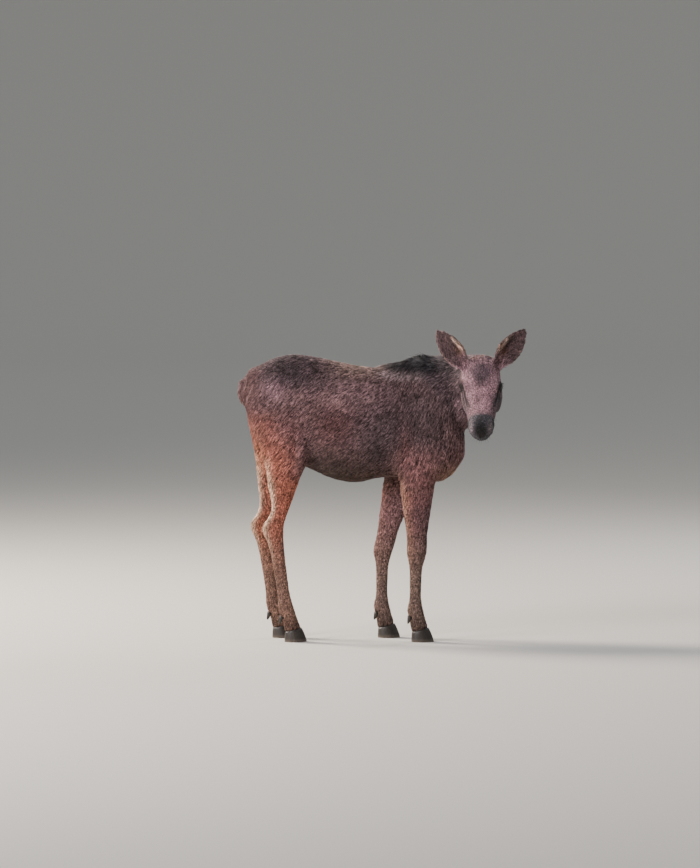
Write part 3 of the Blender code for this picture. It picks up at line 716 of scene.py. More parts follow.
def noseLeather(points):
    # the bare skin: round the nostrils, down the middle of the lip and along the edge of the lips
    local = toHead(points)
    x, y, z = local.T
    middle = ramp(np.abs(y), 0.010, 0.005) * ramp(x, 0.392, 0.400) * ramp(z, -0.058, -0.066) \
        * ramp(z, -0.094, -0.084)
    bare = np.maximum(middle, 0)
    for side in (1, -1):
        nostril, _ = alongPath(points, facePaths["nostril", side])
        lips, _ = alongPath(points, facePaths["mouth", side])
        bare = np.maximum.reduce([bare, ramp(nostril, 0.0125, 0.0075), ramp(lips, 0.0042, 0.0024)])
    return np.clip(bare, 0, 1)


coatColours = {
    "umber": "#70585a", "mouse": "#8b756b", "sable": "#57494e", "slate": "#25262a",
    "russet": "#644343", "rust": "#ab6a59", "apricot": "#af744f", "cream": "#e2c4aa",
    "bark": "#362a24", "rose": "#b9939c", "dusk": "#715f67", "soot": "#58595f",
    "ash": "#766f6a", "fawn": "#9a7b69", "shade": "#2f2729", "peach": "#b48a78",
    "brick": "#906565", "coal": "#1b191a", "clay": "#8d7073",
    "lilac": "#a8969b",
}


def coatColourAndPaintedLight(points, normals, belongs):
    # colour at each vertex: browns laid over each other from named places on the body; some layers are
    # painted highlights and painted shade
    x, y, z = points.T
    local = toHead(points)
    lx, ly, lz = local.T  # to the nose, to its left, to the crown
    colours = {name: linear(code) for name, code in coatColours.items()}
    paint = np.broadcast_to(colours["umber"], points.shape).copy()

    def lay(name, amount):
        nonlocal paint
        amount = np.clip(amount, 0, 1)[:, None]
        paint = paint * (1 - amount) + colours[name] * amount

    trunk, neck, head, tail = (weightOf(belongs, part) for part in ("trunk", "neck", "head", "tail"))
    fore = weightOf(belongs, "forearm", "fore_cannon")
    hind = weightOf(belongs, "gaskin", "hind_cannon")

    # trunk: darker over the loin, the shoulder and the belly, warmer and paler in the middle and behind
    lay("mouse", 0.90 * trunk * hill(x, -0.09, 0.17) * ramp(z, 1.15, 1.235))
    lay("clay", 0.95 * trunk * hill(x, -0.13, 0.15) * hill(z, 1.105, 0.075))
    lay("russet", 0.85 * trunk * hill(x, -0.19, 0.12) * hill(z, 0.98, 0.10))
    lay("shade", 0.16 * trunk * hill(x, -0.10, 0.20) * hill(z, 0.97, 0.12))
    lay("sable", 0.75 * trunk * hill(x, 0.03, 0.15) * hill(z, 0.95, 0.16))
    lay("sable", 0.55 * trunk * hill(x, 0.22, 0.12) * hill(z, 1.06, 0.14))
    lay("sable", 0.95 * trunk * hill(x, -0.40, 0.20) * ramp(z, 1.12, 1.19))
    lay("shade", 0.50 * trunk * hill(x, -0.41, 0.16) * ramp(z, 1.16, 1.23))
    lay("bark", 0.75 * trunk * hill(x, -0.18, 0.24) * ramp(z, 0.93, 0.80))
    lay("bark", 0.7 * trunk * ramp(z, 0.82, 0.745) * ramp(x, -0.42, -0.33))
    lay("brick", 0.70 * trunk * ramp(x, -0.30, -0.42) * ramp(z, 1.10, 0.95))
    lay("russet", 0.50 * trunk * ramp(x, -0.49, -0.58) * ramp(z, 0.95, 1.05))
    lay("rust", 0.55 * trunk * ramp(x, -0.42, -0.52) * ramp(z, 1.08, 0.96))
    lay("rust", 0.90 * (trunk + hind) * ramp(x, -0.34, -0.46) * ramp(z, 1.00, 0.80))
    lay("apricot", 0.45 * (trunk + hind) * ramp(x, -0.48, -0.56) * ramp(z, 1.02, 0.84))
    # painted highlight: a small pale rose spot on the hip
    lay("rose", 0.55 * trunk * hill(x, -0.475, 0.050) * hill(z, 1.142, 0.038))
    # painted shade: a dark patch in the hollow of the flank behind the elbow
    lay("shade", 0.55 * trunk * hill(x, -0.005, 0.045) * hill(z, 0.865, 0.080))
    lay("shade", 0.22 * trunk * hill(x, 0.16, 0.14) * hill(z, 1.04, 0.11))
    lay("sable", 0.22 * trunk * ramp(x, -0.46, -0.52) * hill(z, 0.93, 0.06))
    # painted light: a reddish band down the lit ridge behind the shoulder, towards the elbow
    lay("russet", 0.60 * trunk * hill(x, 0.112, 0.030) * hill(z, 0.88, 0.11))

    # neck and breast
    lay("sable", 0.80 * neck)
    lay("umber", 0.6 * neck * ramp(normals[:, 2], -0.2, -0.8))
    lay("rose", 0.28 * neck * hill(x, 0.345, 0.014) * hill(z, 1.07, 0.05))
    lay("sable", 0.75 * neck * ramp(normals[:, 2], 0.1, 0.6))
    lay("shade", 0.45 * neck * ramp(normals[:, 2], 0.4, 0.9) * ramp(x, 0.46, 0.36))
    withers = ramp(x, -0.06, 0.08) * ramp(x, 0.40, 0.22) * ramp(z, 1.175, 1.245)
    lay("slate", 0.95 * (trunk + neck) * np.maximum(withers, maneShare(points)))
    # painted highlight: a pale lilac band along the lower edge of the dark withers
    lay("lilac", 0.38 * (trunk + neck) * ramp(x, -0.04, 0.04) * ramp(x, 0.24, 0.16) * hill(z, 1.205, 0.018))
    lay("russet", 0.45 * trunk * ramp(x, 0.24, 0.34) * ramp(z, 0.92, 0.80))

    # legs: rust above, pale inside, paler behind (partly their own colour, partly painted rim light), greyer
    # towards the feet
    rearPaleAndRimLit = ramp(normals[:, 0], -0.20, -0.80)
    inside = ramp(-normals[:, 1] * np.sign(y - trunkMiddle), 0.15, 0.75) * ramp(z, 0.86, 0.72)
    lay("rust", 0.95 * hind)
    lay("brick", 0.85 * fore)
    lay("brick", 0.80 * trunk * hill(x, 0.17, 0.09) * ramp(z, 0.93, 0.80))
    # painted light and shade: the forelegs' rear-facing sides warmer and lighter, their front-facing sides
    # darker
    lay("rust", 0.40 * fore * ramp(normals[:, 0], 0.1, -0.6))
    lay("sable", 0.45 * fore * ramp(normals[:, 0], 0.1, 0.7))
    lay("sable", 0.42 * fore * (1 - inside) * ramp(z, 0.66, 0.58))
    lay("clay", 0.55 * fore * inside)
    # inner sides of the upper forelegs darker: partly their own colour, partly painted shade
    lay("sable", 0.30 * fore * inside * ramp(z, 0.58, 0.70))
    # rear-facing sides of the forelegs and of the trunk behind them paler: partly their own colour, partly a
    # painted rim light
    lay("peach", 0.41 * fore * hill(z, 0.76, 0.07) * ramp(normals[:, 0], 0.3, -0.3))
    lay("peach", 0.75 * (fore + trunk * ramp(z, 0.80, 0.70)) * rearPaleAndRimLit * ramp(x, 0.0, 0.1))
    lay("fawn", 0.55 * trunk * hill(x, 0.33, 0.07) * ramp(z, 0.84, 0.76))
    lay("apricot", 0.30 * hind * inside)
    # rear-facing sides of the hind legs paler: partly their own cream colour, partly a painted rim light
    hindPaleAndRimLit = rearPaleAndRimLit * ramp(z, 0.90, 0.72) * ramp(x, -0.30, -0.42) * ramp(z, 0.30, 0.55)
    lay("cream", 0.86 * (hind + trunk) * hindPaleAndRimLit)
    lay("rust", 0.45 * hind * inside * ramp(z, 0.50, 0.62))
    # inner sides of the upper hind legs darker: partly their own colour, partly painted shade
    lay("sable", 0.22 * hind * inside * ramp(z, 0.50, 0.62))
    lay("ash", 0.60 * (fore + hind) * ramp(z, 0.52, 0.26))
    lay("fawn", 0.35 * (fore + hind) * ramp(z, 0.60, 0.35))
    lay("bark", 0.55 * (fore + hind) * ramp(z, 0.125, 0.075))
    lay("umber", 0.5 * (fore + hind) * hill(z, 0.435, 0.05) * ramp(normals[:, 0], 0.2, 0.9))
    lay("clay", 0.6 * tail)
    lay("apricot", 0.5 * tail * ramp(normals[:, 2], 0.0, -0.6))

    # head: rosy bridge and brows, dark cap, cheeks and muzzle
    lay("rose", 0.95 * head * ramp(lz, -0.125, -0.060))
    lay("sable", 0.80 * head * ramp(lz, -0.070, -0.115))
    # cheeks darker: partly their own colour, partly painted shade
    cheek = ramp(np.abs(ly), 0.046, 0.070) * ramp(lz, -0.035, -0.070) * ramp(lx, 0.10, 0.16)
    lay("sable", 0.70 * head * cheek)
    cap = ramp(np.hypot((lx - 0.108) / 0.064, ly / 0.060), 1.25, 0.45) * ramp(lz, -0.07, -0.03)
    lay("dusk", 0.90 * head * cap)
    lay("shade", 0.30 * head * cap * hill(lx, 0.140, 0.020) * ramp(np.abs(ly), 0.045, 0.015))
    lay("umber", 0.80 * head * ramp(lx, 0.06, 0.02))
    # painted rim light: pale fawn over the top of the crown
    lay("fawn", 0.50 * head * ramp(lx, 0.015, -0.015) * ramp(lz, -0.04, 0.0))
    # painted highlight: a paler band along the lower edge of the jaw
    lay("clay", 0.55 * head * ramp(np.abs(ly), 0.060, 0.072) * hill(lz, -0.105, 0.022) * ramp(lx, 0.24, 0.18))
    # sides of the face darker: partly their own colour, partly painted shade
    lay("sable", 0.50 * head * ramp(np.abs(ly), 0.032, 0.060) * ramp(lx, 0.13, 0.19))
    for side in (1, -1):
        distance = eyeDistance(local, side)
        lay("rose", 0.80 * head * hill(distance, 0.050, 0.012) * ramp(lz, -0.06, -0.03))
        # darker round each eye: partly the dark skin of the lids, partly painted shade
        lay("shade", 0.85 * ramp(distance, 0.037, 0.025))
        lay("coal", 0.75 * ramp(distance, 0.031, 0.024))
        gap, share = alongPath(points, facePaths["tearGroove", side])
        # painted shade along the tear groove
        lay("shade", 0.80 * head * ramp(gap, 0.0095, 0.0030) * ramp(share, 1.0, 0.6))
        gap, share = alongPath(points, facePaths["tearLine", side])
        lay("coal", 0.88 * head * ramp(gap, 0.0125, 0.0060) * ramp(share, 1.0, 0.55))
    lay("soot", 0.94 * head * ramp(lx, 0.322, 0.352))
    nose = ramp(np.hypot(ly / 0.030, (lz + 0.054) / 0.036), 1.3, 0.5) * ramp(lx, 0.335, 0.365)
    lay("coal", 0.90 * head * nose)
    # pale nostril rims: partly their own colour, partly a painted highlight on the wet nose
    lay("lilac", 0.66 * head * hill(np.abs(ly), 0.041, 0.008) * hill(lz, -0.048, 0.022)
        * ramp(lx, 0.34, 0.365))
    lay("coal", 0.60 * head * ramp(lx, 0.33, 0.36) * ramp(lz, -0.118, -0.132))
    lay("ash", 0.50 * head * ramp(lx, 0.29, 0.33) * ramp(lz, -0.125, -0.145))
    lay("coal", 0.9 * noseLeather(points) * head)

    # ears: dark, with a strip of pale hair inside the cup and a pale fringe
    for side in (1, -1):
        along, across, out, _, facing = earPlace(local, side)
        weight = earWeight(belongs, side)
        cup = ramp(normals @ turn @ facing, -0.1, 0.4)
        lay("umber", weight * (1 - cup))
        lay("mouse", 0.12 * weight * cup)
        lay("sable", 0.20 * weight * cup)
        lay("shade", 0.3 * weight * cup * ramp(along, 0.5, 0.9))
        lay("cream", 0.62 * earStrip(along, across) * weight * cup)
        lay("lilac", 0.30 * earStrip(along, across) * weight * cup)
        lay("shade", 0.70 * weight * cup * hill(across, 0.020, 0.006) * hill(along, 0.34, 0.24))
        lay("mouse", 0.50 * weight * ramp(np.abs(across), 0.040, 0.052))
        base = hill(along, 0.20, 0.085) * ramp(across, -0.010, 0.010) * ramp(out, -0.02, 0.01)
        lay("apricot", 0.22 * (weight + head) * base * (np.abs(across) < 0.07) * (local[:, 1] * side > 0.03))
    return np.clip(paint, 0, 1)


hidePoints, hideNormals = vertexArray(hideMesh), vertexNormals(hideMesh)
comb = combField(hidePoints, belongs)
setAttribute(hideMesh, "comb", "FLOAT_VECTOR", comb)
hairFields = ("hairLength", "hairWidth", "hairLift", "hairThick")
for name, values in zip(hairFields, coatFields(hidePoints, hideNormals, belongs)):
    setAttribute(hideMesh, name, "FLOAT", values)
marksAndPaintedLight = relax(coatColourAndPaintedLight(hidePoints, hideNormals, belongs), edgeArray(hideMesh), 2, 0.4)
setAttribute(hideMesh, "marksAndPaintedLight", "FLOAT_COLOR", np.hstack([marksAndPaintedLight, np.ones((len(marksAndPaintedLight), 1))]))
setAttribute(hideMesh, "leather", "FLOAT", noseLeather(hidePoints))
print("coat planned")


# patches: the hide shared out among the coat's pieces, each unwrapped over its own square

patchNames = ["coatRumpRight", "coatRumpLeft", "coatShoulderRight", "coatShoulderLeft",
              "coatFlankRight", "coatFlankLeft", "coatNeck", "coatHead", "coatEars",
              "coatForelegs", "coatHindlegs", "coatFace"]
patchOf = {"neck": "coatNeck", "head": "coatHead", "ear": "coatEars", "tail": "coatEars",
           "forearm": "coatForelegs", "fore_cannon": "coatForelegs",
           "gaskin": "coatHindlegs", "hind_cannon": "coatHindlegs"}
patchSettings = {
    "rump": -0.33, "shoulder": 0.03, "face": 0.125,  # m, where the trunk's and the head's pieces meet
    "margin": 0.015,  # round each chart, as a share of its square
}


def unrolled(points, faceOf, onTrunk):
    # a chart opened out like a globe's map: round its long axis and along it, both 0 to 1
    middle = (points.max(0) + points.min(0)) / 2
    if onTrunk:
        middle[1] = trunkMiddle
    long = np.linalg.svd((points - points.mean(0))[::7], full_matrices=False)[2][0]
    side = unit(np.cross(long, (0.0, 0.0, 1.0) if abs(long[2]) < 0.7 else (1.0, 0.0, 0.0)))
    along, a, b = ((points - middle) @ axis for axis in (long, side, np.cross(side, long)))
    around = np.arctan2(a, b)
    # a face across the seam is kept whole, beside its own first corner
    first = np.maximum.accumulate(np.where(np.diff(faceOf, prepend=-1) != 0, np.arange(len(faceOf)), 0))
    past = around - around[first]
    around = around - np.where(past > math.pi, math.tau, 0) + np.where(-past > math.pi, math.tau, 0)
    latitude = np.arctan2(along / max(np.ptp(along), 1e-6), np.hypot(a, b) / max(np.ptp(a), np.ptp(b), 1e-6))
    place = np.stack([around, latitude], 1)
    low, high = np.percentile(place, 0.1, axis=0), np.percentile(place, 99.9, axis=0)
    margin = patchSettings["margin"]
    return np.clip((place - low) / (high - low), 0, 1) * (1 - 2 * margin) + margin


def sharePatches(mesh):
    # each face's patch, and each corner's place on the unwrap of its patch
    plan = patchSettings
    starts = readArray(mesh.polygons, "loop_start")
    totals = readArray(mesh.polygons, "loop_total")
    corners = readArray(mesh.loops, "vertex_index")
    middles = np.add.reduceat(hidePoints[corners], starts, axis=0) / totals[:, None]
    owner = belongs.argmax(1)[corners[starts]]
    x, y, _ = middles.T
    third = np.where(x < plan["rump"], 0, np.where(x > plan["shoulder"], 2, 4))
    patch = third + np.where(y < trunkMiddle, 0, 1)
    for i, node in enumerate(fleshNodes):
        if partOf(node) in patchOf:
            patch[owner == i] = patchNames.index(patchOf[partOf(node)])
        if node == "head":
            patch[(owner == i) & (toHead(middles)[:, 0] > plan["face"])] = patchNames.index("coatFace")
    faceOf = np.repeat(np.arange(len(totals)), totals)
    spot = np.zeros((len(corners), 2))
    for number in range(len(patchNames)):
        charts = sorted(set(owner[patch == number]))  # one for each node, side by side
        columns = math.ceil(math.sqrt(len(charts)))
        rows = math.ceil(len(charts) / columns)
        for k, owned in enumerate(charts):
            here = (patch[faceOf] == number) & (owner[faceOf] == owned)
            place = unrolled(hidePoints[corners[here]], faceOf[here], fleshNodes[owned] == "trunk")
            spot[here] = (place + (k % columns, k // columns)) / (columns, rows)
    setAttribute(mesh, "patch", "INT", patch, "FACE")
    setAttribute(mesh, "rootPlace", "FLOAT_VECTOR", np.hstack([spot, np.zeros((len(spot), 1))]), "CORNER")


sharePatches(hideMesh)
print("patches shared out")


# materials

def newMaterial(name):
    # an empty material, and the call that adds a node to it
    material = bpy.data.materials.new(name)
    material.use_nodes = True
    material.node_tree.nodes.clear()
    return material, partial(addNode, material.node_tree)


hairLook = {
    "roughness": 0.62, "specular": 0.16, "sheen": 0.03,
    "rootToTip": (0.55, 1.15),  # how dark the hair is at the skin, and at its tip
    "spread": (0.46, 1.54),  # darkest and lightest tuft
    "clump": (0.18, 2.04),  # darkest and lightest clump
    "mottle": (0.76, 1.24), "mottling": 22.0,  # wide soft patches, about 45 mm across
    "band": (0.68, 1.32), "banding": 1.0 / 0.0085,  # pale and dark bands on the hair, about 8.5 mm apart
    "grizzle": 2.5, "grizzled": 0.17,  # how much paler the tips are, on this share of the tufts
}


def makeHairMaterial():
    # guard hair, dry and faintly glossy: dark at the root, with pale tips here and there
    material, add = newMaterial("guardHair")
    look = hairLook
    marksAndPaintedLight = add("ShaderNodeAttribute", attribute_name="marksAndPaintedLight")
    along, shade, clump = (add("ShaderNodeAttribute", attribute_name=name).outputs["Fac"]
                           for name in ("along", "shade", "clump"))
    place = add("ShaderNodeTexCoord").outputs["Object"]
    mottle = add(noise, {"Vector": place, "Scale": look["mottling"], "Detail": 3.0})
    band = add(noise, {"Vector": place, "Scale": look["banding"], "Detail": 1.0})
    shades = 1.0
    for value, low, high, (dark, pale) in (
            (shade, 0, 1, look["spread"]), (along, 0, 1, look["rootToTip"]),
            (mottle, 0.3, 0.7, look["mottle"]), (clump, 0, 1, look["clump"]),
            (band, 0.35, 0.65, look["band"])):
        part = add(mapRange, {0: value, 1: low, 2: high, 3: dark, 4: pale})
        shades = add(maths, {0: shades, 1: part}, operation="MULTIPLY")
    tone = add(vectorMaths, {0: marksAndPaintedLight, 3: shades}, operation="SCALE")
    pick = add(mapRange, {0: shade, 1: 1 - look["grizzled"], 2: 1 - look["grizzled"] + 0.03})
    tip = add(mapRange, {0: along, 1: 0.35, 2: 0.95, 4: 0.55})
    frosted = add(maths, {0: pick, 1: tip}, operation="MULTIPLY")
    tips = add(vectorMaths, {0: marksAndPaintedLight, 3: look["grizzle"]}, operation="SCALE")
    colour = add(mix, {0: frosted, 6: tone, 7: tips}, data_type="RGBA")
    shader = add("ShaderNodeBsdfPrincipled", {
        "Base Color": colour, "Roughness": look["roughness"], "Specular IOR Level": look["specular"],
        "Sheen Weight": look["sheen"], "Sheen Roughness": 0.5})
    add("ShaderNodeOutputMaterial", {0: shader})
    return material


hideLook = {
    "hairScale": 1.0 / 0.0030,  # one ripple for every 3 mm, the width of a lock of short hair
    "pebble": 1.0 / 0.0022,  # nose leather: pebbles of about 2 mm
    "hairRough": 0.78, "leatherRough": 0.55, "specular": 0.24,
    "flow": (0.6, 1.0, 0.45),  # the ripples are drawn out along the lie of the hair
    "hairShade": (0.42, 1.05),  # darkest and lightest hair
    "relief": 0.0008,  # m
    "leather": "#161415",
}


def makeHideMaterial():
    # short hair lying flat on hide, and the damp pebbled leather of the nose
    material, add = newMaterial("hideAndLeather")
    look = hideLook
    marksAndPaintedLight = add("ShaderNodeAttribute", attribute_name="marksAndPaintedLight")
    leather = add("ShaderNodeAttribute", attribute_name="leather").outputs["Fac"]
    place = add("ShaderNodeTexCoord").outputs["Object"]
    flow = add("ShaderNodeMapping", {"Vector": place, "Scale": look["flow"]})
    hair = add(noise, {"Vector": flow, "Scale": look["hairScale"], "Detail": 3.0})
    pebble = add("ShaderNodeTexVoronoi", {"Vector": place, "Scale": look["pebble"]})
    dark, pale = look["hairShade"]
    shade = add(mapRange, {0: hair, 1: 0.3, 2: 0.7, 3: dark, 4: pale})
    tone = add(vectorMaths, {0: marksAndPaintedLight, 3: shade}, operation="SCALE")
    skin = add(mix, {0: leather, 6: tone, 7: opaque(look["leather"])}, data_type="RGBA")
    rough = add(mapRange, {0: leather, 3: look["hairRough"], 4: look["leatherRough"]})
    relief = add(mix, {0: leather, 2: hair, 3: pebble}, data_type="FLOAT")
    bump = add("ShaderNodeBump", {"Strength": 0.55, "Distance": look["relief"], "Height": relief})
    shader = add("ShaderNodeBsdfPrincipled", {
        "Base Color": skin, "Roughness": rough, "Specular IOR Level": look["specular"], "Normal": bump})
    add("ShaderNodeOutputMaterial", {0: shader})
    return material


hornLook = {
    "ring": 1.0 / 0.0045,  # growth rings about 4.5 mm apart
    "waver": 30.0, "waverHeight": 0.010,  # the rings rise and fall by up to 10 mm over about 33 mm
    "fibre": 420.0,  # streaks about 2.4 mm apart, coarser than horn's own fibres so that they show
    "relief": 0.0006,  # m
    "dark": "#1d1a18", "streak": "#3b332d", "scuff": "#6b5f54",
    "scuffed": 0.018,  # m, how high over the ground
}


def makeHornMaterial():
    # hoof keratin: near black, satin, ringed by growth and scuffed at the ground
    material, add = newMaterial("hoofHorn")
    look = hornLook
    place = add("ShaderNodeTexCoord").outputs["Object"]
    high = add("ShaderNodeSeparateXYZ", {0: place}).outputs["Z"]
    waver = add(noise, {"Vector": place, "Scale": look["waver"], "Detail": 2.0})
    lifted = add(maths, {0: waver, 1: look["waverHeight"], 2: high}, operation="MULTIPLY_ADD")
    rings = add(maths, {0: lifted, 1: look["ring"] * math.tau}, operation="MULTIPLY")
    wave = add(maths, {0: rings}, operation="SINE")
    fibre = add("ShaderNodeMapping", {"Vector": place, "Scale": (1.0, 1.0, 0.12)})
    grain = add(noise, {"Vector": fibre, "Scale": look["fibre"], "Detail": 4.0})
    worn = add(mapRange, {0: high, 1: 0.0, 2: look["scuffed"], 3: 0.75, 4: 0.0})
    streak = add(mapRange, {0: grain, 1: 0.35, 2: 0.7})
    base = add(mix, {0: streak, 6: opaque(look["dark"]), 7: opaque(look["streak"])}, data_type="RGBA")
    scuffed = add(mix, {0: worn, 6: base, 7: opaque(look["scuff"])}, data_type="RGBA")
    rough = add(mapRange, {0: grain, 3: 0.34, 4: 0.56})
    relief = add(maths, {0: wave, 1: 0.35, 2: grain}, operation="MULTIPLY_ADD")
    bump = add("ShaderNodeBump", {"Strength": 0.5, "Distance": look["relief"], "Height": relief})
    shader = add("ShaderNodeBsdfPrincipled", {
        "Base Color": scuffed, "Roughness": rough, "IOR": 1.54, "Normal": bump})
    add("ShaderNodeOutputMaterial", {0: shader})
    return material


eyeLook = {
    "pupil": "#050506", "irisDark": "#170e0a", "irisPale": "#3d2617", "edge": "#1b1210",
    "slit": (0.42, 0.20),  # half length and half height of the pupil, in eye radii
}


def makeEyeMaterial():
    # a wet dark brown eye: long level pupil, streaked iris, smooth cornea over both
    material, add = newMaterial("wetEye")
    look = eyeLook
    # gaze: along the slit, across it and outward, in eye radii
    gaze = add("ShaderNodeAttribute", attribute_name="gaze").outputs["Vector"]
    long, high = look["slit"]
    flat = add(vectorMaths, {0: gaze, 1: (1.0 / long, 1.0 / high, 0.0)}, operation="MULTIPLY")
    pupil = add(vectorMaths, {0: flat}, operation="LENGTH")
    hole = add(mapRange, {0: pupil, 1: 0.92, 2: 1.08})
    disc = add(vectorMaths, {0: gaze, 1: (1.0, 1.0, 0.0)}, operation="MULTIPLY")
    ring = add(vectorMaths, {0: disc}, operation="LENGTH")
    streaks = add(noise, {"Vector": gaze, "Scale": 9.0, "Detail": 5.0})
    iris = add(mix, {0: streaks, 6: opaque(look["irisDark"]), 7: opaque(look["irisPale"])},
               data_type="RGBA")
    inner = add(mix, {0: hole, 6: opaque(look["pupil"]), 7: iris}, data_type="RGBA")
    edge = add(mapRange, {0: ring, 1: 0.68, 2: 0.84})
    whole = add(mix, {0: edge, 6: inner, 7: opaque(look["edge"])}, data_type="RGBA")
    shader = add("ShaderNodeBsdfPrincipled", {
        "Base Color": whole, "Roughness": 0.07, "IOR": 1.38, "Coat Weight": 1.0, "Coat Roughness": 0.02})
    add("ShaderNodeOutputMaterial", {0: shader})
    return material


plainLook = {"cloud": 260.0, "spread": (0.6, 1.4)}  # faint clouding about 4 mm across, darkest and lightest


def makePlainMaterial(name, colour, roughness):
    # one nearly even finish, for lid rims, lashes and whiskers
    material, add = newMaterial(name)
    place = add("ShaderNodeTexCoord").outputs["Object"]
    cloud = add(noise, {"Vector": place, "Scale": plainLook["cloud"], "Detail": 3.0})
    dark, pale = ((*(linear(colour) * share), 1) for share in plainLook["spread"])
    mottled = add(mix, {0: cloud, 6: dark, 7: pale}, data_type="RGBA")
    shader = add("ShaderNodeBsdfPrincipled", {"Base Color": mottled, "Roughness": roughness})
    add("ShaderNodeOutputMaterial", {0: shader})
    return material


guardHair = makeHairMaterial()
hideAndLeather = makeHideMaterial()
hoofHorn = makeHornMaterial()
wetEye = makeEyeMaterial()
lidLeather = makePlainMaterial("lidLeather", "#241d1c", 0.35)  # damp bare skin, nearly black
lashHair = makePlainMaterial("lashHair", "#1c1716", 0.5)  # stiff dark hair


# coat: tufts over the hide, by Geometry Nodes

tuftSettings = {
    "shapes": 5, "ridge": 0.42, "bow": 0.30, "drop": -0.75,  # heights in tuft widths
    "lift": (0.35, 1.05), "clumpLift": 0.6,  # share of the part's lift, and what a clump adds
    "length": (0.70, 1.20), "width": (0.65, 1.25),  # least and most, as shares of the part's own
    "sunk": -0.30,  # height of the root over the hide, in tuft widths
    "patch": 0.003,  # width of a tuft's patch on the unwrap
    "stray": 0.11,  # how much a tuft leaves the lie of its neighbours
    "lock": 34.0, "gather": 0.75,  # locks about 30 mm apart, and how far they lean together
    "clump": 132.0,  # clumps of one shade, about 8 mm across
    "fineClump": {"coatFace": 240.0, "coatHead": 200.0, "coatEars": 200.0, "coatForelegs": 165.0,
                  "coatHindlegs": 165.0},
    "seed": 20,
}


def makeTufts():
    # a few flattened locks one unit long, root at the origin, lying along x, bowed over, with pointed tips
    group = bpy.data.collections.new("tufts")
    chance = np.random.default_rng(11)
    bow, ridge, drop = (tuftSettings[k] for k in ("bow", "ridge", "drop"))
    faces = [(0, 2, 1), (0, 1, 3), (0, 3, 2), (4, 1, 2), (4, 3, 1), (4, 2, 3)]
    corners = np.ravel(faces)
    for number in range(tuftSettings["shapes"]):
        middle, bend = chance.uniform(0.26, 0.46), chance.uniform(-1.0, 1.0)
        points = np.array([(0, 0, 0), (middle, -0.5, bow), (middle, 0.5, bow), (middle, 0, bow + ridge),
                           (1.0, bend, drop * chance.uniform(0.6, 1.4))])
        mesh = bpy.data.meshes.new(f"tuft{number}")
        mesh.from_pydata(points.tolist(), [], faces)
        mesh.polygons.foreach_set("use_smooth", [True] * len(faces))
        setAttribute(mesh, "along", "FLOAT", points[:, 0])
        flat = np.stack([points[corners, 0], 0.5 + 0.5 * points[corners, 1], np.zeros(len(corners))], 1)
        setAttribute(mesh, "tuftPlace", "FLOAT_VECTOR", flat, "CORNER")
        group.objects.link(bpy.data.objects.new(f"tuft{number}", mesh))
    return group


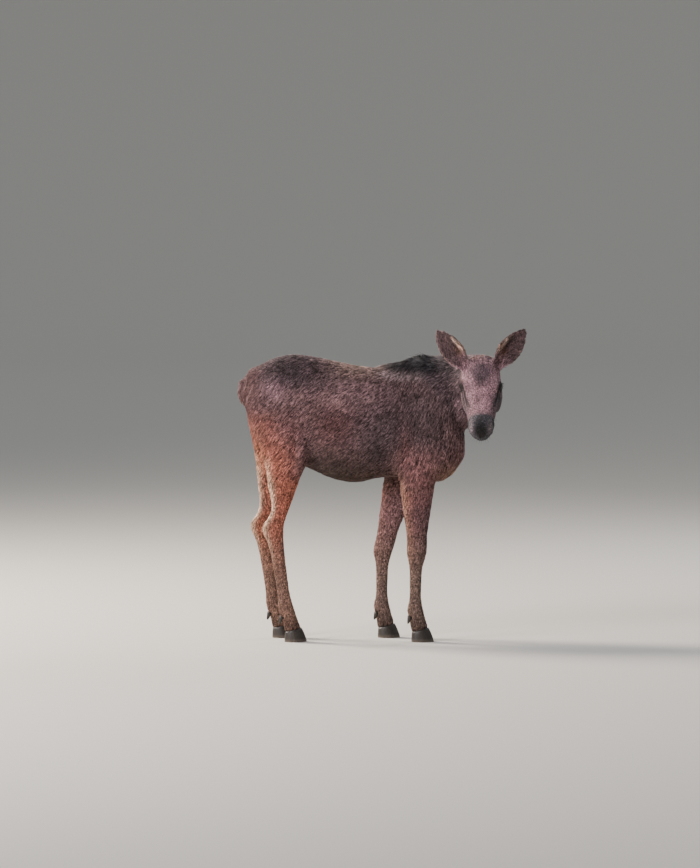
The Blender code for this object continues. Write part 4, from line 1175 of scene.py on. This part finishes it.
def makeCoatTree():
    tree = bpy.data.node_groups.new("coat", "GeometryNodeTree")
    add, plan = partial(addNode, tree), tuftSettings
    for name, kind in (("Geometry", "Geometry"), ("Patch", "Int"), ("Seed", "Int"), ("Stray", "Float"),
                       ("Patch width", "Float"), ("Lock scale", "Float"), ("Gather", "Float"),
                       ("Clump scale", "Float"), ("Tufts", "Collection"), ("Material", "Material")):
        tree.interface.new_socket(name, in_out="INPUT", socket_type="NodeSocket" + kind)
    tree.interface.new_socket("Geometry", in_out="OUTPUT", socket_type="NodeSocketGeometry")
    given = add("NodeGroupInput").outputs
    field = {name: add("GeometryNodeInputNamedAttribute", {"Name": name}, data_type=kind)
             for name, kind in (("patch", "INT"), ("comb", "FLOAT_VECTOR"), ("tuftPlace", "FLOAT_VECTOR"),
                                ("rootPlace", "FLOAT_VECTOR"), *((name, "FLOAT") for name in hairFields))}
    # what differs from tuft to tuft: each draw has its own offset on the seed
    rolled = {}
    for name, offset, low, high in (("stray", 3, (-1, -1, -1), (1, 1, 1)), ("lift", 5, *plan["lift"]),
                                    ("length", 7, *plan["length"]), ("width", 9, *plan["width"]),
                                    ("shade", 13, 0.0, 1.0)):
        seed = add(maths, {0: given["Seed"], 1: offset}, operation="ADD")
        first, kind = (0, "FLOAT_VECTOR") if name == "stray" else (2, "FLOAT")
        rolled[name] = add("FunctionNodeRandomValue", {first: low, first + 1: high, "Seed": seed},
                           data_type=kind)
    same = add("FunctionNodeCompare", {2: field["patch"], 3: given["Patch"]}, data_type="INT",
               operation="EQUAL")
    mine = add("GeometryNodeSeparateGeometry", {0: given["Geometry"], 1: same}, domain="FACE")
    scatter = add("GeometryNodeDistributePointsOnFaces",
                  {"Mesh": mine, "Density": field["hairThick"], "Seed": given["Seed"]},
                  distribute_method="RANDOM")
    normal = scatter.outputs["Normal"]

    # the lie: the comb, strayed a little, laid into the surface and lifted off it
    place = add("GeometryNodeInputPosition")
    locks = add(noise, {"Vector": place, "Scale": given["Lock scale"], "Detail": 1.0})
    centred = add(vectorMaths, {0: locks.outputs["Color"], 1: (0.5, 0.5, 0.5)}, operation="SUBTRACT")
    lean = add(vectorMaths, {0: centred, 3: given["Gather"]}, operation="SCALE")
    alone = add(vectorMaths, {0: rolled["stray"], 3: given["Stray"]}, operation="SCALE")
    turned = add(vectorMaths, {0: lean, 1: alone}, operation="ADD")
    wanted = add(vectorMaths, {0: field["comb"], 1: turned}, operation="ADD")
    height = add(vectorMaths, {0: wanted, 1: normal}, operation="DOT_PRODUCT")
    out = add(vectorMaths, {0: normal, 3: height}, operation="SCALE")
    flat = add(vectorMaths, {0: wanted, 1: out}, operation="SUBTRACT")
    laid = add(vectorMaths, {0: flat}, operation="NORMALIZE")
    clumps = add(noise, {"Vector": place, "Scale": given["Clump scale"], "Detail": 1.5})
    clump = add(mapRange, {0: clumps, 1: 0.33, 2: 0.67})
    heaped = add(maths, {0: clump, 1: plan["clumpLift"]}, operation="MULTIPLY")
    raised = add(maths, {0: heaped, 1: rolled["lift"]}, operation="ADD")
    lift = add(maths, {0: field["hairLift"], 1: raised}, operation="MULTIPLY")
    off = add(vectorMaths, {0: normal, 3: lift}, operation="SCALE")
    lie = add(vectorMaths, {0: laid, 1: off}, operation="ADD")
    rotation = add("FunctionNodeAxesToRotation", {0: lie, 1: normal}, primary_axis="X", secondary_axis="Z")

    # the tufts, each with its shade and clump, its root sunk in the hide
    long = add(maths, {0: field["hairLength"], 1: rolled["length"]}, operation="MULTIPLY")
    wide = add(maths, {0: field["hairWidth"], 1: rolled["width"]}, operation="MULTIPLY")
    size = add("ShaderNodeCombineXYZ", {0: long, 1: wide, 2: wide})
    points = scatter
    for name, value in (("shade", rolled["shade"]), ("clump", clump)):
        points = add("GeometryNodeStoreNamedAttribute", {0: points, "Name": name, "Value": value},
                     data_type="FLOAT", domain="POINT")
    depth = add(maths, {0: wide, 1: plan["sunk"]}, operation="MULTIPLY")
    down = add(vectorMaths, {0: normal, 3: depth}, operation="SCALE")
    rooted = add("GeometryNodeSetPosition", {0: points, "Offset": down})
    shapes = add("GeometryNodeCollectionInfo",
                 {"Collection": given["Tufts"], "Separate Children": True, "Reset Children": True})
    grown = add("GeometryNodeInstanceOnPoints", {"Points": rooted, "Instance": shapes, "Pick Instance": True,
                                                 "Rotation": rotation, "Scale": size})
    last = add("GeometryNodeRealizeInstances", {0: grown})

    # the unwrap: each tuft a small patch at its root's place
    patch = add(vectorMaths, {0: field["tuftPlace"], 3: given["Patch width"]}, operation="SCALE")
    spot = add(vectorMaths, {0: field["rootPlace"], 1: patch}, operation="ADD")
    last = add("GeometryNodeStoreNamedAttribute", {0: last, "Name": "OFBake", "Value": spot},
               data_type="FLOAT2", domain="CORNER")
    for name in (*field, "leather"):
        last = add("GeometryNodeRemoveAttribute", {0: last, "Name": name})
    finished = add("GeometryNodeSetMaterial", {0: last, "Material": given["Material"]})
    add("NodeGroupOutput", {0: finished})
    return tree


def growCoat(number, name, tree, tufts):
    plan = tuftSettings
    ground = bpy.data.objects.new("ground", hideMesh)
    bpy.context.scene.collection.objects.link(ground)
    modifier = ground.modifiers.new("coat", "NODES")
    modifier.node_group = tree
    slots = {item.name: item.identifier for item in tree.interface.items_tree if item.in_out == "INPUT"}
    for key, value in {"Patch": number, "Seed": plan["seed"] + number, "Stray": plan["stray"],
                       "Patch width": plan["patch"], "Lock scale": plan["lock"], "Gather": plan["gather"],
                       "Clump scale": plan["fineClump"].get(name, plan["clump"]),
                       "Tufts": tufts, "Material": guardHair}.items():
        modifier[slots[key]] = value
    mesh = evaluatedMesh(ground)
    mesh.name = name
    piece = newPiece(name, mesh, guardHair)
    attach(piece, "root")
    print(name, len(mesh.polygons), "faces")


tufts, coatTree = makeTufts(), makeCoatTree()
for number, name in enumerate(patchNames):
    growCoat(number, name, coatTree, tufts)
for tuft in list(tufts.objects):
    bpy.data.objects.remove(tuft)
bpy.data.collections.remove(tufts)

hidePiece = newPiece("hide", hideMesh, hideAndLeather)
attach(hidePiece, "root")
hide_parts(*fleshNodes)
print("coat grown")


# eyes, lid rims, lashes and whiskers

eyeSettings = {
    "rimWidth": 0.0014, "rimSteps": 64,
    "lashes": 34, "lashLength": 0.0150, "lashWidth": 0.0007, "lashSag": 0.22,
}


def makeEye(side):
    centre, ahead, up, outward = eyeAxes(side)
    work = bmesh.new()
    bmesh.ops.create_uvsphere(work, u_segments=40, v_segments=24, radius=headSettings["eyeRadius"])
    axes = np.stack([ahead, up, outward], 1)
    ball = np.array([v.co for v in work.verts])
    for vertex, place in zip(work.verts, ball @ axes.T + centre):
        vertex.co = fromHead(place)
    if np.linalg.det(axes) < 0:
        bmesh.ops.reverse_faces(work, faces=work.faces)
    name = "eyeLeft" if side > 0 else "eyeRight"
    mesh = toMesh(work, name)
    setAttribute(mesh, "gaze", "FLOAT_VECTOR", ball / headSettings["eyeRadius"])
    piece = newPiece(name, mesh, wetEye)
    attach(piece, "root")
    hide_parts("eye_left" if side > 0 else "eye_right")


def lidPoint(side, angle, height):
    # a point on the edge of the lids, in the head's frame; height is a share of the lid's thickness
    centre, ahead, up, outward = eyeAxes(side)
    a = lidSettings["halfLength"] * math.cos(angle)
    half = lidSettings["upper"] if math.sin(angle) > 0 else lidSettings["lower"]
    b = math.copysign(half * (1 - (a / lidSettings["halfLength"]) ** 2), math.sin(angle))
    shell = headSettings["eyeRadius"] + lidSettings["thickness"] * height
    return centre + ahead * a + up * b + outward * math.sqrt(shell ** 2 - a ** 2 - b ** 2)


def tube(work, path, radii, sides=6, closed=False):
    # a tube along a path, with its ends closed unless it runs round
    ahead = unit(np.roll(path, -1, 0) - np.roll(path, 1, 0) if closed else np.gradient(path, axis=0))
    rings = []
    guide = np.array((0.31, 0.22, 0.93))  # along no hair
    for point, way, radius in zip(path, ahead, radii):
        side = unit(np.cross(way, guide))
        other = np.cross(way, side)
        rings.append([work.verts.new(point + radius * (math.cos(t) * side + math.sin(t) * other))
                      for t in np.arange(sides) * math.tau / sides])
    for first, second in zip(rings, rings[1:] + (rings[:1] if closed else [])):
        for i in range(sides):
            j = (i + 1) % sides
            work.faces.new((first[i], second[i], second[j], first[j]))
    if not closed:
        work.faces.new(rings[0][::-1])
        work.faces.new(rings[-1])


hairTaper = np.array([1.0, 0.9, 0.7, 0.45, 0.12]) / 2  # of its width, from root to tip


def hairPath(root, way, size, sag):
    steps = np.linspace(0, 1, len(hairTaper))[:, None]
    return root + way * steps * size + sag * size * steps ** 2


def finishHairs(work, name, material):
    bmesh.ops.recalc_face_normals(work, faces=work.faces)
    piece = newPiece(name, toMesh(work, name), material)
    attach(piece, "root")


def makeLids():
    plan = eyeSettings
    rims, lashes = bmesh.new(), bmesh.new()
    chance = np.random.default_rng(5)
    for side in (1, -1):
        ring = [lidPoint(side, math.tau * k / plan["rimSteps"], 0.35) for k in range(plan["rimSteps"])]
        tube(rims, fromHead(ring), [plan["rimWidth"]] * plan["rimSteps"], 8, closed=True)
        _, ahead, up, outward = eyeAxes(side)
        for k in range(plan["lashes"]):
            angle = math.pi * (0.10 + 0.80 * (k + 0.5) / plan["lashes"])
            fan = ahead * (0.55 * math.cos(angle)) + up * 0.25 + outward * 0.95 + chance.normal(0, 0.07, 3)
            size = plan["lashLength"] * (0.55 + 0.45 * math.sin(angle)) * chance.uniform(0.8, 1.1)
            path = hairPath(lidPoint(side, angle, 0.6), unit(fan), size, -plan["lashSag"] * up)
            tube(lashes, fromHead(path), plan["lashWidth"] * hairTaper, 4)
    finishHairs(rims, "lidRims", lidLeather)
    finishHairs(lashes, "lashes", lashHair)


whiskerSettings = {"count": 70, "length": (0.014, 0.032), "width": 0.00045, "sag": (0, 0, -0.25)}


def makeWhiskers():
    # stiff single hairs on the lips and chin
    plan = whiskerSettings
    chance = np.random.default_rng(8)
    local = toHead(hidePoints)
    lips = (local[:, 0] > 0.30) & (local[:, 2] < -0.072) & (weightOf(belongs, "head") > 0.5)
    haired = np.flatnonzero(lips & (noseLeather(hidePoints) < 0.3))
    work = bmesh.new()
    for index in chance.choice(haired, plan["count"], replace=False):
        lie = hideNormals[index] + 0.5 * comb[index] + np.array((0, 0, -0.45))
        way = unit(lie + chance.normal(0, 0.18, 3))
        path = hairPath(hidePoints[index], way, chance.uniform(*plan["length"]), np.array(plan["sag"]))
        tube(work, path, plan["width"] * hairTaper, 4)
    finishHairs(work, "whiskers", lashHair)


for side in (1, -1):
    makeEye(side)
makeLids()
makeWhiskers()
print("eyes made")


# hooves: each toe rounded from its solid, with growth rings

hoofSettings = {
    "voxel": 0.0024, "rounds": 45,  # m, and rounds of evening out
    "ring": 0.0045, "ringDepth": 0.00035, "ringSlope": 0.12,  # m, and how much the rings climb forward
}


def makeToe(node):
    plan = hoofSettings
    mesh = fused(toMesh(mergedSolid(node), "toe"), plan["voxel"])
    flat = vertexArray(mesh)
    points = relax(flat, edgeArray(mesh), plan["rounds"], 0.5)
    sole = flat[:, 2] < 0.003
    points[sole, 2] = flat[sole, 2]
    setVertices(mesh, points)
    rings = np.sin((points[:, 2] + plan["ringSlope"] * points[:, 0]) * math.tau / plan["ring"])
    keep = ramp(points[:, 2], 0.006, 0.016)
    points = points + vertexNormals(mesh) * (plan["ringDepth"] * rings * keep)[:, None]
    points[:, 2] = np.maximum(points[:, 2], flat[:, 2].min())
    setVertices(mesh, points)
    return mesh


def makeHooves():
    for leg in ("fore_left", "fore_right", "hind_left", "hind_right"):
        nodes = [f"{kind}_{leg}_{place}" for kind in ("toe", "dewclaw") for place in ("outer", "inner")]
        joined = bmesh.new()
        for node in nodes:
            mesh = makeToe(node)
            joined.from_mesh(mesh)
            bpy.data.meshes.remove(mesh)
        name = "hoof" + leg.title().replace("_", "")
        piece = newPiece(name, toMesh(joined, name), hoofHorn)
        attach(piece, "root")
        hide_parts(*nodes)


makeHooves()
print("hooves made")

for name in (*hairFields, "comb", "patch", "rootPlace"):
    hideMesh.attributes.remove(hideMesh.attributes[name])


# floor, light and camera

stageSettings = {
    "floor": "#d9d6d0", "sky": "#dfe3e6", "skyStrength": 0.46,
    "floorRadius": 34.0, "curve": 12.0,  # m, flat to here, then rising as a rim
    "corners": 96,  # round the floor
    "grain": 90.0, "grainDepth": 0.001,  # paper's soft unevenness, about 11 mm apart, and its depth in m
    "target": (-0.141, 0.174, 0.93), "elevation": 3.0, "distance": 22.0, "pictureWidth": 3.157,  # m
}


def makeStage():
    work = bmesh.new()
    radius, curve, corners = (stageSettings[k] for k in ("floorRadius", "curve", "corners"))
    profile = [(radius * k / 4, 0.0) for k in range(1, 5)]
    for t in np.linspace(0, math.pi / 2, 13)[1:]:
        profile.append((radius + curve * math.sin(t), curve * (1 - math.cos(t))))
    rings = [[work.verts.new((r * math.cos(t), r * math.sin(t), z))
              for t in np.arange(corners) * math.tau / corners] for r, z in profile]
    middle = work.verts.new((0, 0, 0))
    for i in range(corners):
        j = (i + 1) % corners
        work.faces.new((middle, rings[0][i], rings[0][j]))
        for inner, outer in zip(rings, rings[1:]):
            work.faces.new((inner[i], outer[i], outer[j], inner[j]))
    material, add = newMaterial("paleFloor")  # dry seamless paper
    place = add("ShaderNodeTexCoord").outputs["Object"]
    grain = add(noise, {"Vector": place, "Scale": stageSettings["grain"], "Detail": 4.0})
    bump = add("ShaderNodeBump", {"Strength": 0.04, "Distance": stageSettings["grainDepth"], "Height": grain})
    shader = add("ShaderNodeBsdfPrincipled",
                 {"Base Color": opaque(stageSettings["floor"]), "Roughness": 0.8, "Normal": bump})
    add("ShaderNodeOutputMaterial", {0: shader})
    newPiece("floor", toMesh(work, "floor"), material)
    world = bpy.data.worlds.new("studio")
    world.use_nodes = True
    background = world.node_tree.nodes["Background"]
    background.inputs["Color"].default_value = opaque(stageSettings["sky"])
    background.inputs["Strength"].default_value = stageSettings["skyStrength"]
    bpy.context.scene.world = world


# name, place, aimed at, size in metres, watts, colour
lampSettings = (
    ("keyLamp", (-5.5, 2.6, 5.0), (0.0, 0.1, 0.8), 2.4, 1150, "#fff1e2"),
    ("fillLamp", (-6.0, -5.2, 4.2), (0.0, 0.1, 0.9), 3.0, 590, "#fbf4f6"),
    ("rimLamp", (4.5, 5.5, 4.5), (0.0, 0.1, 0.9), 2.5, 160, "#f2f6ff"),
)


def aimed(name, data, place, way):
    # a lamp or camera at a place, looking that way
    holder = bpy.data.objects.new(name, data)
    holder.location = place
    holder.rotation_euler = way.to_track_quat("-Z", "Y").to_euler()
    bpy.context.scene.collection.objects.link(holder)
    return holder


def makeLamps():
    for name, place, aim, size, power, colour in lampSettings:
        lamp = bpy.data.lights.new(name, "AREA")
        lamp.shape, lamp.size, lamp.energy = "DISK", size, power
        lamp.color = linear(colour)
        aimed(name, lamp, place, Vector(aim) - Vector(place))


def makeCamera():
    plan = stageSettings
    angle = math.radians(plan["elevation"])
    view = Vector((0, math.cos(angle), -math.sin(angle)))
    camera = bpy.data.cameras.new("camera")
    camera.sensor_fit, camera.sensor_width = "HORIZONTAL", 36
    camera.lens = camera.sensor_width * plan["distance"] / plan["pictureWidth"]
    camera.clip_end = 300
    bpy.context.scene.camera = aimed("camera", camera, Vector(plan["target"]) - view * plan["distance"], view)


makeStage()
makeLamps()
makeCamera()
print("stage set")
